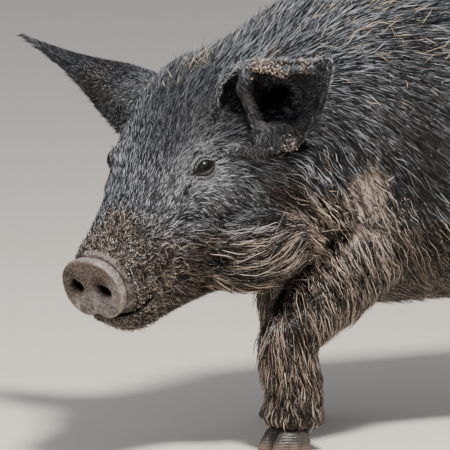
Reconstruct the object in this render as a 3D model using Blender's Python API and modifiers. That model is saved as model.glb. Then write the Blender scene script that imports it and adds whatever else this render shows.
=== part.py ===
"""A young, coarse-haired black pig walking with its head low, life size, as a still model.

Metres, +Z up. The pig faces -Y, its left side is +X, and it stands on z = 0. The flesh is fused
from lofted sections, then parted by thin cuts into its named parts. Every size includes the coat.
"""
import math
from functools import partial

import bmesh
import bpy
from mathutils import Matrix, Vector

# Driving dimensions
GAP = 0.0004  # between touching parts
SHARPEST = 2.0  # most that the gap is multiplied by, at a sharp corner
VOXEL = 0.0045  # grid on which the flesh is fused
FLESH_TRIANGLES = 3650
SMOOTHINGS = 26
RING_POINTS = 28
LOFT_STEPS = 4  # rings from one station to the next
REGION_POINTS = 10  # round the coarse cutter that parts a leg
TAIL_POINTS = 8

HEAD_END = 0.285  # where the head parts from the neck, in the head's frame
JAW_END = 0.095
MOUTH_LEVEL = 0.001
NECK_END = Vector((0, -0.065, 0.35))  # on the plane where the neck meets the trunk
NECK_LEAN = math.radians(20)
LEG_MARGIN = 0.008
LEG_SPREAD = 0.098  # from the middle plane to each leg's middle
LEG_LEAN = 0.10  # how far a leg's top leans in, for each metre of height
LEAN_FROM = 0.20
HEAD_YAW = math.radians(20)  # the head turns to its left
HEAD_PITCH = math.radians(20)  # and the muzzle points down
SNOUT_BASE = Vector((0.0870, -0.3640, 0.1750))  # bottom middle of the snout disc
DISC_HALF_WIDTH = 0.0435
DISC_HEIGHT = 0.074
DISC_THICKNESS = 0.013
NOSTRIL_SPREAD = 0.0205
EYE_RADIUS = 0.0125
EYE_PLACE = Vector((0.0640, 0.160, 0.1205))  # of the left eye, in the head's frame
EAR_ROOT = Vector((0.078, 0.236, 0.150))
EAR_TIP = Vector((0.236, 0.216, 0.240))
EAR_SAG = 0.012
EAR_WALL = 0.0055
EAR_TURN = {1: 92, -1: 50}  # degrees from straight up to the middle of the outer side
EAR_OPENING = {1: 0.21, -1: 0.0}  # how far the left and the right ear unroll
EAR_CREST = {1: 0.0190, -1: 0.0}  # how far each ear's upper edge stands up near its root
EAR_ARC_POINTS = 7
NOSTRIL_RADII = Vector((0.0075, 0.011, 0.0060))
NOSTRIL_TILT = math.radians(25)
DISC_POINTS = 24
DISC_BEVEL = 0.004
DISC_NOTCH = 0.006
NOTCH_HALF_WIDTH = 0.010
CLAW_LENGTH = 0.054
CLAW_HEIGHT = 0.030
CLAW_WIDTH = 0.027
CLAW_SPREAD = 0.0158
CLAW_POINTS = 10
CLAW_LEAN = 0.0015
DEWCLAW_LENGTH = 0.024
DEWCLAW_RADII = (0.0065, 0.0095)
DEWCLAW_SPREAD = 0.017
DEWCLAW_SLANT = math.radians(20)
LEG_DOME = ((0.066, 0.35), (0.057, 0.68), (0.036, 0.92))  # rise, share of the reach

# Trunk sections: y, top, bottom, half width, widest level, fullness of crown and of keel
TRUNK = (
    (-0.150, 0.440, 0.262, 0.060, 0.350, 2.0, 2.0),
    (-0.120, 0.485, 0.205, 0.100, 0.345, 2.0, 2.1),
    (-0.060, 0.520, 0.172, 0.132, 0.340, 1.9, 2.3),
    (0.010, 0.545, 0.160, 0.148, 0.340, 1.9, 2.4),
    (0.080, 0.540, 0.157, 0.150, 0.335, 2.0, 2.4),
    (0.160, 0.519, 0.156, 0.151, 0.325, 2.2, 2.4),
    (0.260, 0.510, 0.156, 0.150, 0.320, 2.2, 2.4),
    (0.370, 0.515, 0.166, 0.144, 0.330, 2.2, 2.3),
    (0.460, 0.512, 0.190, 0.144, 0.350, 2.2, 2.2),
    (0.540, 0.494, 0.232, 0.140, 0.370, 2.1, 2.2),
    (0.600, 0.458, 0.280, 0.116, 0.375, 2.0, 2.0),
    (0.640, 0.405, 0.335, 0.060, 0.372, 2.0, 2.0),
)
# Swellings of the left side: name, place, radii; the right side mirrors them
BODY_LUMPS = (
    ("shoulder", (0.078, 0.000, 0.335), (0.074, 0.105, 0.150)),
    ("ham", (0.074, 0.510, 0.345), (0.074, 0.115, 0.145)),
)
HEAD_LUMPS = (
    ("brow", (0.044, 0.176, 0.126), (0.032, 0.048, 0.026)),
    ("cheekbone", (0.062, 0.190, 0.080), (0.038, 0.058, 0.038)),
    ("jowl", (0.070, 0.205, 0.012), (0.050, 0.080, 0.062)),
)
# Head sections in the head's own frame, snout first: y, top, bottom, half width, widest level
HEAD = (
    (0.000, 0.072, 0.004, 0.041, 0.037, 2.2, 2.2),
    (0.020, 0.079, -0.016, 0.045, 0.035, 2.3, 2.0),
    (0.036, 0.085, -0.033, 0.048, 0.034, 2.4, 2.0),
    (0.060, 0.095, -0.039, 0.052, 0.033, 2.4, 2.0),
    (0.090, 0.110, -0.041, 0.061, 0.033, 2.4, 2.1),
    (0.122, 0.132, -0.042, 0.074, 0.034, 2.3, 2.2),
    (0.155, 0.158, -0.044, 0.089, 0.036, 2.3, 2.3),
    (0.195, 0.186, -0.049, 0.104, 0.040, 2.3, 2.4),
    (0.235, 0.203, -0.051, 0.114, 0.045, 2.3, 2.4),
    (0.270, 0.208, -0.043, 0.116, 0.050, 2.3, 2.3),
    (0.305, 0.203, -0.022, 0.108, 0.058, 2.3, 2.2),
)
# Front leg path: y, z, reach forward, reach back, half width
FRONT_LEFT = (
    (0.004, 0.330, 0.056, 0.066, 0.050),
    (-0.004, 0.270, 0.050, 0.068, 0.048),
    (-0.046, 0.215, 0.047, 0.062, 0.044),
    (-0.102, 0.160, 0.038, 0.042, 0.036),
    (-0.122, 0.130, 0.034, 0.034, 0.033),
    (-0.118, 0.090, 0.031, 0.031, 0.031),
    (-0.112, 0.055, 0.031, 0.035, 0.033),
    (-0.120, 0.026, 0.030, 0.026, 0.030),
)
FRONT_RIGHT = (
    (-0.005, 0.330, 0.060, 0.062, 0.050),
    (0.005, 0.270, 0.050, 0.050, 0.046),
    (0.000, 0.215, 0.042, 0.042, 0.040),
    (-0.005, 0.165, 0.034, 0.034, 0.034),
    (-0.006, 0.135, 0.034, 0.032, 0.033),
    (0.000, 0.095, 0.030, 0.030, 0.030),
    (0.004, 0.058, 0.030, 0.034, 0.032),
    (-0.004, 0.026, 0.030, 0.026, 0.030),
)
HIND_LEFT = (
    (0.515, 0.400, 0.090, 0.080, 0.050),
    (0.475, 0.320, 0.085, 0.085, 0.052),
    (0.450, 0.265, 0.062, 0.072, 0.048),
    (0.480, 0.215, 0.040, 0.046, 0.036),
    (0.508, 0.180, 0.030, 0.038, 0.031),
    (0.508, 0.140, 0.030, 0.031, 0.029),
    (0.495, 0.095, 0.029, 0.029, 0.028),
    (0.483, 0.058, 0.030, 0.034, 0.031),
    (0.471, 0.026, 0.030, 0.026, 0.030),
)
HIND_RIGHT = (
    (0.525, 0.400, 0.090, 0.078, 0.050),
    (0.510, 0.320, 0.085, 0.080, 0.052),
    (0.515, 0.265, 0.062, 0.066, 0.048),
    (0.560, 0.215, 0.040, 0.046, 0.036),
    (0.600, 0.185, 0.031, 0.038, 0.031),
    (0.610, 0.145, 0.030, 0.031, 0.029),
    (0.609, 0.098, 0.029, 0.029, 0.028),
    (0.605, 0.060, 0.030, 0.034, 0.031),
    (0.595, 0.026, 0.030, 0.026, 0.030),
)
SIDES = (("left", 1), ("right", -1))
LEGS = (
    ("front_left", FRONT_LEFT, 1),
    ("front_right", FRONT_RIGHT, -1),
    ("hind_left", HIND_LEFT, 1),
    ("hind_right", HIND_RIGHT, -1),
)
# Ear sections from the root: share of the length, radius, half the arc in degrees
EAR = (
    (0.00, 0.046, 165),
    (0.22, 0.045, 138),
    (0.42, 0.037, 115),
    (0.62, 0.026, 98),
    (0.80, 0.0165, 85),
    (0.92, 0.0105, 75),
    (1.00, 0.0075, 60),
)
# Tail path: x, y, z, radius
TAIL = (
    (0.000, 0.590, 0.450, 0.024),
    (0.000, 0.642, 0.446, 0.019),
    (0.004, 0.670, 0.412, 0.014),
    (0.012, 0.680, 0.365, 0.011),
    (0.020, 0.676, 0.315, 0.010),
    (0.022, 0.680, 0.270, 0.012),
    (0.016, 0.690, 0.225, 0.010),
    (0.010, 0.696, 0.195, 0.004),
)


# Colour and roughness of each finish
FINISHES = {
    "coat": ((0.018, 0.016, 0.016), 0.55),
    "snout_skin": ((0.17, 0.12, 0.11), 0.50),
    "hoof": ((0.055, 0.045, 0.038), 0.60),
    "eye": ((0.020, 0.012, 0.008), 0.10),
}
NODE_FINISHES = {"snout": "snout_skin", "claw": "hoof", "dewclaw": "hoof", "eye": "eye"}


def clear_scene():
    for item in list(bpy.data.objects):
        bpy.data.objects.remove(item, do_unlink=True)


def new_collection(name):
    found = bpy.data.collections.new(name)
    bpy.context.scene.collection.children.link(found)
    return found


def material(name, colour, roughness):
    found = bpy.data.materials.new(name)
    found.use_nodes = True
    shader = found.node_tree.nodes["Principled BSDF"]
    shader.inputs["Base Color"].default_value = (*colour, 1.0)
    shader.inputs["Roughness"].default_value = roughness
    shader.inputs["Metallic"].default_value = 0.0
    return found


def new_object(name, mesh, collection):
    item = bpy.data.objects.new(name, mesh)
    collection.objects.link(item)
    return item


def signed_power(value, power):
    return math.copysign(abs(value) ** power, value)


def section(centre, side, up, half_width, above, below, crown=2.0, keel=2.0, count=RING_POINTS):
    """A closed ring of two half superellipses that share their widest level."""
    points = []
    for step in range(count):
        angle = math.tau * step / count
        power = 2 / (crown if math.sin(angle) >= 0 else keel)
        reach = above if math.sin(angle) >= 0 else below
        across = signed_power(math.cos(angle), power) * half_width
        rise = signed_power(math.sin(angle), power) * reach
        points.append(centre + side * across + up * rise)
    return points


def eased(stations, steps=LOFT_STEPS):
    """The stations with more between them, on a smooth curve through each of their values."""
    rows = []
    last = len(stations) - 1
    for index in range(last):
        before = stations[max(index - 1, 0)]
        start = stations[index]
        end = stations[index + 1]
        after = stations[min(index + 2, last)]
        for step in range(steps):
            t = step / steps
            row = []
            for a, b, c, d in zip(before, start, end, after):
                slope_in = (c - a) / 2
                slope_out = (d - b) / 2
                row.append(
                    (2 * t**3 - 3 * t**2 + 1) * b
                    + (t**3 - 2 * t**2 + t) * slope_in
                    + (3 * t**2 - 2 * t**3) * c
                    + (t**3 - t**2) * slope_out
                )
            rows.append(row)
    rows.append(list(stations[last]))
    return rows


def loft(name, rings, collection):
    """A closed solid through rings of equal count, with flat ends."""
    build = bmesh.new()
    rows = [[build.verts.new(point) for point in ring] for ring in rings]
    count = len(rows[0])
    for near, far in zip(rows, rows[1:]):
        for i in range(count):
            j = (i + 1) % count
            build.faces.new((near[i], near[j], far[j], far[i]))
    build.faces.new(rows[0])
    build.faces.new(rows[-1])
    bmesh.ops.recalc_face_normals(build, faces=build.faces)
    mesh = bpy.data.meshes.new(name)
    build.to_mesh(mesh)
    build.free()
    return new_object(name, mesh, collection)


def upright_rings(stations):
    """Rings across the y axis from rows of y, top, bottom, half width, widest level, fullness."""
    rings = []
    for y, top, bottom, half_width, widest, crown, keel in eased(stations):
        centre = Vector((0, y, widest))
        rings.append(
            section(centre, Vector((1, 0, 0)), Vector((0, 0, 1)), half_width,
                    top - widest, widest - bottom, crown, keel)
        )
    return rings


def path_rings(points, reaches, count=RING_POINTS):
    """Rings square to a path; each reach is half width, reach ahead and reach behind."""
    rings = []
    last = len(points) - 1
    for index, (point, reach) in enumerate(zip(points, reaches)):
        along = points[min(index + 1, last)] - points[max(index - 1, 0)]
        side = Vector((1, 0, 0))
        ahead = along.cross(side).normalized()
        rings.append(section(point, side, ahead, *reach, count=count))
    return rings


def leg(name, stations, side, collection, steps=LOFT_STEPS, count=RING_POINTS):
    rows = eased(stations, steps)
    points = []
    for y, z, *_ in rows:
        lean = LEG_LEAN * max(z - LEAN_FROM, 0)
        points.append(Vector((side * (LEG_SPREAD - lean), y, z)))
    reaches = [(width, front, back) for _, _, front, back, width in rows]
    return loft(name, path_rings(points, reaches, count), collection)


def tail(name, collection):
    rows = eased(TAIL, 2)
    points = [Vector(row[:3]) for row in rows]
    reaches = [(row[3], row[3], row[3]) for row in rows]
    return loft(name, path_rings(points, reaches, TAIL_POINTS), collection)


def head_frame():
    """From the head's own frame, snout to -Y and mouth at z = 0, to the pig's."""
    turn = Matrix.Rotation(HEAD_YAW, 4, "Z") @ Matrix.Rotation(HEAD_PITCH, 4, "X")
    return Matrix.Translation(SNOUT_BASE) @ turn


def lump(name, centre, radii, collection, frame=Matrix.Identity(4)):
    """An ellipsoid that swells the flesh where it is fused in."""
    build = bmesh.new()
    bmesh.ops.create_uvsphere(build, u_segments=24, v_segments=16, radius=1.0)
    bmesh.ops.scale(build, vec=Vector(radii), verts=build.verts)
    bmesh.ops.translate(build, vec=Vector(centre), verts=build.verts)
    bmesh.ops.transform(build, matrix=frame, verts=build.verts)
    mesh = bpy.data.meshes.new(name)
    build.to_mesh(mesh)
    build.free()
    return new_object(name, mesh, collection)


def sphere(name, centre, radius, collection):
    build = bmesh.new()
    bmesh.ops.create_uvsphere(build, u_segments=12, v_segments=8, radius=radius)
    bmesh.ops.translate(build, vec=centre, verts=build.verts)
    mesh = bpy.data.meshes.new(name)
    build.to_mesh(mesh)
    build.free()
    return new_object(name, mesh, collection)


def applied(item):
    """Turns an object's modifiers into its mesh."""
    found = item.evaluated_get(bpy.context.evaluated_depsgraph_get())
    mesh = bpy.data.meshes.new_from_object(found)
    item.modifiers.clear()
    item.data = mesh
    return item


def combined(first, second, operation):
    """The first object's mesh after a Boolean with the second, which stays."""
    change = first.modifiers.new("combine", "BOOLEAN")
    change.operation = operation
    change.solver = "EXACT"
    change.object = second
    return applied(first)


def copied(item, name, collection):
    return new_object(name, item.data.copy(), collection)


def head_ring(station):
    """One section of the head, in the pig's frame."""
    y, top, bottom, half_width, widest, crown, keel = station
    frame = head_frame()
    ring = section(Vector((0, y, widest)), Vector((1, 0, 0)), Vector((0, 0, 1)),
                   half_width, top - widest, widest - bottom, crown, keel)
    return [frame @ point for point in ring]


def head_rings():
    return [head_ring(station) for station in eased(HEAD)]


def neck_rings():
    """From inside the back of the head to inside the shoulders."""
    start = head_ring(HEAD[-3])
    end = upright_rings(TRUNK[3:5])[0]
    steps = 12
    rings = []
    for step in range(steps + 1):
        share = step / steps
        rings.append([a.lerp(b, share) for a, b in zip(start, end)])
    return rings


def fused_flesh(parts):
    """Trunk, neck, head, legs and tail as one smooth closed body."""
    pieces = [
        loft("trunk_loft", upright_rings(TRUNK), parts),
        loft("neck_loft", neck_rings(), parts),
        loft("head_loft", head_rings(), parts),
        leg("front_left_loft", FRONT_LEFT, 1, parts),
        leg("front_right_loft", FRONT_RIGHT, -1, parts),
        leg("hind_left_loft", HIND_LEFT, 1, parts),
        leg("hind_right_loft", HIND_RIGHT, -1, parts),
    ]
    for lumps, frame in ((BODY_LUMPS, Matrix.Identity(4)), (HEAD_LUMPS, head_frame())):
        for name, (x, y, z), radii in lumps:
            for side in (1, -1):
                pieces.append(lump(name, (x * side, y, z), radii, parts, frame))
    build = bmesh.new()
    for piece in pieces:
        build.from_mesh(piece.data)
        bpy.data.objects.remove(piece)
    mesh = bpy.data.meshes.new("flesh")
    build.to_mesh(mesh)
    build.free()
    flesh = new_object("flesh", mesh, parts)
    remesh = flesh.modifiers.new("remesh", "REMESH")
    remesh.mode = "VOXEL"
    remesh.voxel_size = VOXEL
    smooth = flesh.modifiers.new("smooth", "SMOOTH")
    smooth.factor = 0.5
    smooth.iterations = SMOOTHINGS
    return applied(flesh)


def ear_ring(centre, along, radius, half_arc, turn, crest):
    """A C-shaped section: out round the back of the ear, and back along its hollow."""
    top = along.cross(Vector((0, 1, 0))).normalized()
    if top.z < 0:
        top.negate()
    back = along.cross(top).normalized()
    if back.y < 0:
        back.negate()
    middle = math.radians(turn)
    points = []
    for reach, order in ((radius, 1), (radius - EAR_WALL, -1)):
        for step in range(EAR_ARC_POINTS):
            share = 2 * step / (EAR_ARC_POINTS - 1) - 1
            angle = middle + order * share * math.radians(half_arc)
            raised = reach + crest * max(math.cos(angle), 0) ** 2
            points.append(centre + (top * math.cos(angle) + back * math.sin(angle)) * raised)
    return points


def ear(name, side, collection):
    """A leaf rolled into a scoop, in the pig's frame."""
    frame = head_frame()
    mirror = Matrix.Scale(side, 4, Vector((1, 0, 0)))
    rings = []
    along = (EAR_TIP - EAR_ROOT).normalized()
    for share, radius, half_arc in eased(EAR, 2):
        opened = 1 + EAR_OPENING[side] * (min(share * 3, 1) + 2 * share**2)
        sag = Vector((0, 0, -EAR_SAG * math.sin(math.pi * share)))
        centre = EAR_ROOT.lerp(EAR_TIP, share) + sag
        crest = EAR_CREST[side] * (1 - share) * min(share * 10, 1)
        ring = ear_ring(centre, along, radius * opened, half_arc / opened, EAR_TURN[side], crest)
        rings.append([frame @ mirror @ point for point in ring])
    return loft(name, rings, collection)


def disc_ring(y, grow):
    """The snout's outline: a wide oval, fuller above, notched in the middle below."""
    points = []
    half_height = DISC_HEIGHT / 2
    for step in range(DISC_POINTS):
        angle = math.tau * step / DISC_POINTS
        across = signed_power(math.cos(angle), 0.92) * (DISC_HALF_WIDTH + grow)
        rise = signed_power(math.sin(angle), 0.92) * (half_height + grow)
        notch = DISC_NOTCH * math.exp(-((across / NOTCH_HALF_WIDTH) ** 2)) if rise < 0 else 0
        points.append(Vector((across, y, half_height + rise + notch)))
    return points


def snout(name, collection):
    """The disc at the front of the muzzle, with its two nostrils."""
    frame = head_frame()
    outlines = (
        disc_ring(0, -DISC_BEVEL),
        disc_ring(DISC_BEVEL * 0.4, -DISC_BEVEL * 0.3),
        disc_ring(DISC_BEVEL, 0),
        disc_ring(DISC_THICKNESS - DISC_BEVEL * 0.5, 0),
        disc_ring(DISC_THICKNESS, -DISC_BEVEL * 0.5),
    )
    rings = [[frame @ point for point in ring] for ring in outlines]
    disc = loft(name, rings, collection)
    for side in (1, -1):
        place = Vector((side * NOSTRIL_SPREAD, -0.001, DISC_HEIGHT * 0.54))
        build = bmesh.new()
        bmesh.ops.create_uvsphere(build, u_segments=12, v_segments=8, radius=1)
        bmesh.ops.scale(build, vec=NOSTRIL_RADII, verts=build.verts)
        tilt = Matrix.Rotation(-side * NOSTRIL_TILT, 4, "Y")
        matrix = frame @ Matrix.Translation(place) @ tilt
        bmesh.ops.transform(build, matrix=matrix, verts=build.verts)
        mesh = bpy.data.meshes.new("nostril")
        build.to_mesh(mesh)
        build.free()
        hole = new_object("nostril", mesh, collection)
        combined(disc, hole, "DIFFERENCE")
        bpy.data.objects.remove(hole)
    return largest_only(disc)


def thinned(flesh):
    """Fewer triangles, most of them kept where the flesh curves."""
    thin = flesh.modifiers.new("thin", "DECIMATE")
    triangles = sum(len(face.vertices) - 2 for face in flesh.data.polygons)
    thin.ratio = FLESH_TRIANGLES / triangles
    return applied(flesh)


def largest_only(item):
    """Drops every loose scrap that a cut left beside the main body."""
    build = bmesh.new()
    build.from_mesh(item.data)
    unseen = set(build.verts)
    islands = []
    while unseen:
        front = [unseen.pop()]
        island = set(front)
        while front:
            vertex = front.pop()
            for edge in vertex.link_edges:
                other = edge.other_vert(vertex)
                if other in unseen:
                    unseen.remove(other)
                    island.add(other)
                    front.append(other)
        islands.append(island)
    islands.sort(key=len)
    for island in islands[:-1]:
        bmesh.ops.delete(build, geom=list(island), context="VERTS")
    build.to_mesh(item.data)
    build.free()
    return triangulated(item)


def as_cutter(item):
    item.hide_render = True
    item.display_type = "WIRE"
    return item


def block(low, high, frame, tools):
    """A box between two corners of a frame."""
    build = bmesh.new()
    bmesh.ops.create_cube(build, size=1)
    bmesh.ops.scale(build, vec=Vector(high) - Vector(low), verts=build.verts)
    middle = (Vector(low) + Vector(high)) / 2
    bmesh.ops.translate(build, vec=middle, verts=build.verts)
    bmesh.ops.transform(build, matrix=frame, verts=build.verts)
    mesh = bpy.data.meshes.new("block")
    build.to_mesh(mesh)
    build.free()
    return as_cutter(new_object("block", mesh, tools))


def head_region(tools):
    low = (-0.2, DISC_THICKNESS + GAP, -0.075)
    high = (0.2, HEAD_END, 0.30)
    return block(low, high, head_frame(), tools)


def jaw_region(tools):
    return block((-0.1, -0.02, -0.1), (0.1, JAW_END, MOUTH_LEVEL), head_frame(), tools)


def neck_region(tools):
    """All in front of a plane that leans back from the brisket to the withers."""
    lean = Matrix.Translation(NECK_END) @ Matrix.Rotation(-NECK_LEAN, 4, "X")
    return block((-0.3, -0.4, -0.5), (0.3, 0, 0.5), lean, tools)


def leg_region(stations, side, tools):
    """A fatter copy of the leg's loft, domed at the shoulder or hip, down past the floor."""
    y, z, front, back, width = stations[1]
    fat = []
    for rise, share in LEG_DOME:
        reach = [share * (size + LEG_MARGIN) for size in (front, back, width)]
        fat.append((y, z + rise, *reach))
    for y, z, *reach in stations[1:]:
        fat.append((y, z, *[size + LEG_MARGIN for size in reach]))
    y, z, *reach = fat[-1]
    fat.append((y, -0.05, *reach))
    return as_cutter(leg("leg_region", fat, side, tools, 1, REGION_POINTS))


def claw_ring(middle, half_width, ahead, behind):
    """A claw's outline: blunt behind, drawn out to a toe ahead."""
    points = []
    for step in range(CLAW_POINTS):
        angle = math.tau * step / CLAW_POINTS
        across = math.cos(angle) * half_width
        reach = ahead if math.sin(angle) < 0 else behind
        narrow = 1 - 0.28 * max(-math.sin(angle), 0)
        points.append(middle + Vector((across * narrow, math.sin(angle) * reach, 0)))
    return points


def claw(name, x, y, lean, collection):
    """A main claw on its flat sole; lean shifts its top towards the foot's middle."""
    half = CLAW_WIDTH / 2
    levels = (
        (0.0000, 1.00, 0.60, 0.40),
        (0.0060, 1.06, 0.59, 0.41),
        (0.0200, 0.98, 0.46, 0.40),
        (CLAW_HEIGHT, 0.86, 0.30, 0.37),
    )
    rings = []
    for z, width, ahead, behind in levels:
        middle = Vector((x + lean * z / CLAW_HEIGHT, y, z))
        rings.append(claw_ring(middle, half * width, CLAW_LENGTH * ahead, CLAW_LENGTH * behind))
    return loft(name, rings, collection)


def dewclaw(name, x, y, z, collection):
    """A short blunt cone behind the pastern, pointing down and back."""
    build = bmesh.new()
    low, high = DEWCLAW_RADII
    bmesh.ops.create_cone(build, cap_ends=True, segments=6, radius1=low, radius2=high,
                          depth=DEWCLAW_LENGTH)
    turn = Matrix.Translation((x, y, z)) @ Matrix.Rotation(DEWCLAW_SLANT, 4, "X")
    bmesh.ops.transform(build, matrix=turn, verts=build.verts)
    mesh = bpy.data.meshes.new(name)
    build.to_mesh(mesh)
    build.free()
    return new_object(name, mesh, collection)


def foot(word, stations, side, flesh, parts, tools):
    """Two main claws under the foot and two dewclaws behind it."""
    y = stations[-1][0]
    ankle = stations[-2]
    for place, out in (("outer", 1), ("inner", -1)):
        across = side * (LEG_SPREAD + out * CLAW_SPREAD)
        claw("claw_%s_%s" % (word, place), across, y, -side * out * CLAW_LEAN, parts)
        across = side * (LEG_SPREAD + out * DEWCLAW_SPREAD)
        heel = ankle[0] + ankle[3] - DEWCLAW_RADII[1]
        spur = dewclaw("dewclaw_%s_%s" % (word, place), across, heel,
                       ankle[1] - DEWCLAW_LENGTH / 2, parts)
        trimmed(spur, flesh, tools)


def grown(item, tools):
    """A copy swollen evenly by the gap, to cut what touches the item."""
    copy = as_cutter(copied(item, "grown", tools))
    build = bmesh.new()
    build.from_mesh(copy.data)
    build.normal_update()
    for vertex in build.verts:
        sharpness = min(vertex.calc_shell_factor(), SHARPEST)
        vertex.co += vertex.normal * GAP * sharpness
    build.to_mesh(copy.data)
    build.free()
    return copy


def trimmed(item, body, tools):
    """Cuts from an item what lies inside a body, and leaves the gap between them."""
    cut = grown(body, tools)
    combined(item, cut, "DIFFERENCE")
    bpy.data.objects.remove(cut)
    return largest_only(item)


def triangulated(item):
    """With flat facets only, so that a swollen copy has the same ones."""
    build = bmesh.new()
    build.from_mesh(item.data)
    bmesh.ops.triangulate(build, faces=build.faces)
    build.to_mesh(item.data)
    build.free()
    return item


def parted(body, name, region, parts, tools):
    """Splits what a region holds off the body, and leaves a thin gap between the two."""
    piece = copied(body, name, parts)
    inner = triangulated(region(tools))
    outer = grown(inner, tools)
    combined(piece, inner, "INTERSECT")
    combined(body, outer, "DIFFERENCE")
    bpy.data.objects.remove(inner)
    bpy.data.objects.remove(outer)
    return largest_only(piece)


def eye(name, side, head, parts, tools):
    """A ball let into the head, with the gap round it."""
    place = head_frame() @ Vector((EYE_PLACE.x * side, EYE_PLACE.y, EYE_PLACE.z))
    sphere(name, place, EYE_RADIUS, parts)
    socket = as_cutter(sphere("socket", place, EYE_RADIUS + GAP, tools))
    combined(head, socket, "DIFFERENCE")
    bpy.data.objects.remove(socket)


def stood_on_origin(items):
    """Moves the meshes so that the middle of their box's bottom is the origin."""
    points = [vertex.co for item in items for vertex in item.data.vertices]
    low = Vector([min(point[axis] for point in points) for axis in range(3)])
    high = Vector([max(point[axis] for point in points) for axis in range(3)])
    shift = Vector((-(low.x + high.x) / 2, -(low.y + high.y) / 2, -low.z))
    for item in items:
        item.data.transform(Matrix.Translation(shift))
    return shift


def finished(item):
    """Gives a part its material, by the first word of its name."""
    word = item.name.split("_")[0]
    finish = NODE_FINISHES.get(word, "coat")
    if finish not in bpy.data.materials:
        material(finish, *FINISHES[finish])
    item.data.materials.clear()
    item.data.materials.append(bpy.data.materials[finish])


def main():
    clear_scene()
    parts = new_collection("pig")
    tools = new_collection("cutters")
    flesh = thinned(fused_flesh(parts))
    feet = block((-1, -1, -1), (1, 2, CLAW_HEIGHT + GAP), Matrix.Identity(4), tools)
    combined(flesh, feet, "DIFFERENCE")
    bpy.data.objects.remove(feet)
    for word, side in SIDES:
        trimmed(ear("ear_" + word, side, parts), flesh, tools)
    trimmed(tail("tail", parts), flesh, tools)
    for word, stations, side in LEGS:
        foot(word, stations, side, flesh, parts, tools)
    for word, stations, side in LEGS:
        parted(flesh, "leg_" + word, partial(leg_region, stations, side), parts, tools)
    head = parted(flesh, "head", head_region, parts, tools)
    parted(head, "lower_jaw", jaw_region, parts, tools)
    parted(flesh, "neck", neck_region, parts, tools)
    largest_only(flesh).name = "trunk"
    snout("snout", parts)
    for word, side in SIDES:
        eye("eye_" + word, side, head, parts, tools)
    largest_only(head)
    for item in parts.objects:
        finished(item)
    return stood_on_origin(parts.objects)


shift_done = main()
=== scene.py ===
"""Looks of the young black pig: its skin, bristly coat, eyes, snout and hooves."""
import math

import bmesh
import bpy
import numpy as np
from mathutils import Matrix, Vector
from mathutils.bvhtree import BVHTree
from mathutils.kdtree import KDTree


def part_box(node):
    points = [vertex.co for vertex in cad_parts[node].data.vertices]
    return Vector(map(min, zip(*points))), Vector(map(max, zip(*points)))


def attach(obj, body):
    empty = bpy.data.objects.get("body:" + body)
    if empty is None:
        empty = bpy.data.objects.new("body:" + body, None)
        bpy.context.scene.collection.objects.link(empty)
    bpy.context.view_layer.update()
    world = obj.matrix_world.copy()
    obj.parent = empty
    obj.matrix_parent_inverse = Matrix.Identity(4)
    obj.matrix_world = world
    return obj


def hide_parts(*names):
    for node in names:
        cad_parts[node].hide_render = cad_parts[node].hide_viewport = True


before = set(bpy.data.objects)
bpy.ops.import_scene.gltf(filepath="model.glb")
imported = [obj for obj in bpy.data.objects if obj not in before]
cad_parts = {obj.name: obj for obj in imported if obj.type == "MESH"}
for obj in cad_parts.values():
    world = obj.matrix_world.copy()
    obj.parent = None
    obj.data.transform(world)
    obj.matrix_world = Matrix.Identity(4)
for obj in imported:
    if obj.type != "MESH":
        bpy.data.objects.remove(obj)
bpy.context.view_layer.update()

# ---------------------------------------------------------------- places and sizes
FLESH = ("trunk", "neck", "head", "lower_jaw", "ear_left", "ear_right", "tail",
         "leg_front_left", "leg_front_right", "leg_hind_left", "leg_hind_right")
EARS = ("ear_left", "ear_right")
EYES = ("eye_left", "eye_right")
LEGS = ("leg_front_left", "leg_front_right", "leg_hind_left", "leg_hind_right")
HEAD_TURN = math.radians(20)  # to the pig's left
HEAD_DIP = math.radians(20)
EYES_IN_HEAD = Vector((0, 0.16, 0.1205))  # their middle, in the head's own frame
EYE_RADIUS = 0.0125
MM = 0.001  # the tables of places and sizes below are in millimetres


def middle(node):
    low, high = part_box(node)
    return (low + high) / 2


def head_frame():
    """From the head's own frame, snout to -Y and mouth at z = 0, to the pig's."""
    turn = Matrix.Rotation(HEAD_TURN, 4, "Z") @ Matrix.Rotation(HEAD_DIP, 4, "X")
    eyes = (middle("eye_left") + middle("eye_right")) / 2
    return Matrix.Translation(eyes) @ turn @ Matrix.Translation(-EYES_IN_HEAD)


HEAD = head_frame()
HEAD_INVERSE = HEAD.inverted()


def in_head(points):
    """Rows of points, carried into the head's own frame."""
    turn = np.array(HEAD_INVERSE)
    return points @ turn[:3, :3].T + turn[:3, 3]


def from_head(points):
    turn = np.array(HEAD)
    return points @ turn[:3, :3].T + turn[:3, 3]


def turned_from_head(directions):
    return directions @ np.array(HEAD)[:3, :3].T


def body_place(x, y, z):
    return Vector(np.array((x, y, z)) * MM)


def head_place(x, y, z):
    """A place on the pig, given in the head's own frame."""
    return Vector(from_head(np.array([[x, y, z]]) * MM)[0])


def linked(name, data):
    """A new object, put in the scene."""
    item = bpy.data.objects.new(name, data)
    bpy.context.scene.collection.objects.link(item)
    return item


def mesh_from(build, name):
    """A mesh with all that was built in it."""
    mesh = bpy.data.meshes.new(name)
    build.to_mesh(mesh)
    build.free()
    return mesh


# ---------------------------------------------------------------- camera, floor and light
CAMERA_AZIMUTH = math.radians(60)
CAMERA_RISE = math.radians(8)
CAMERA_AWAY = 6.0
CAMERA_LENS = 412
AIM_FROM_EYE = Vector((-0.0711, 0.0698, -0.079))
LAMP_AIM = Vector((0, -0.1, 0.3))


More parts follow.
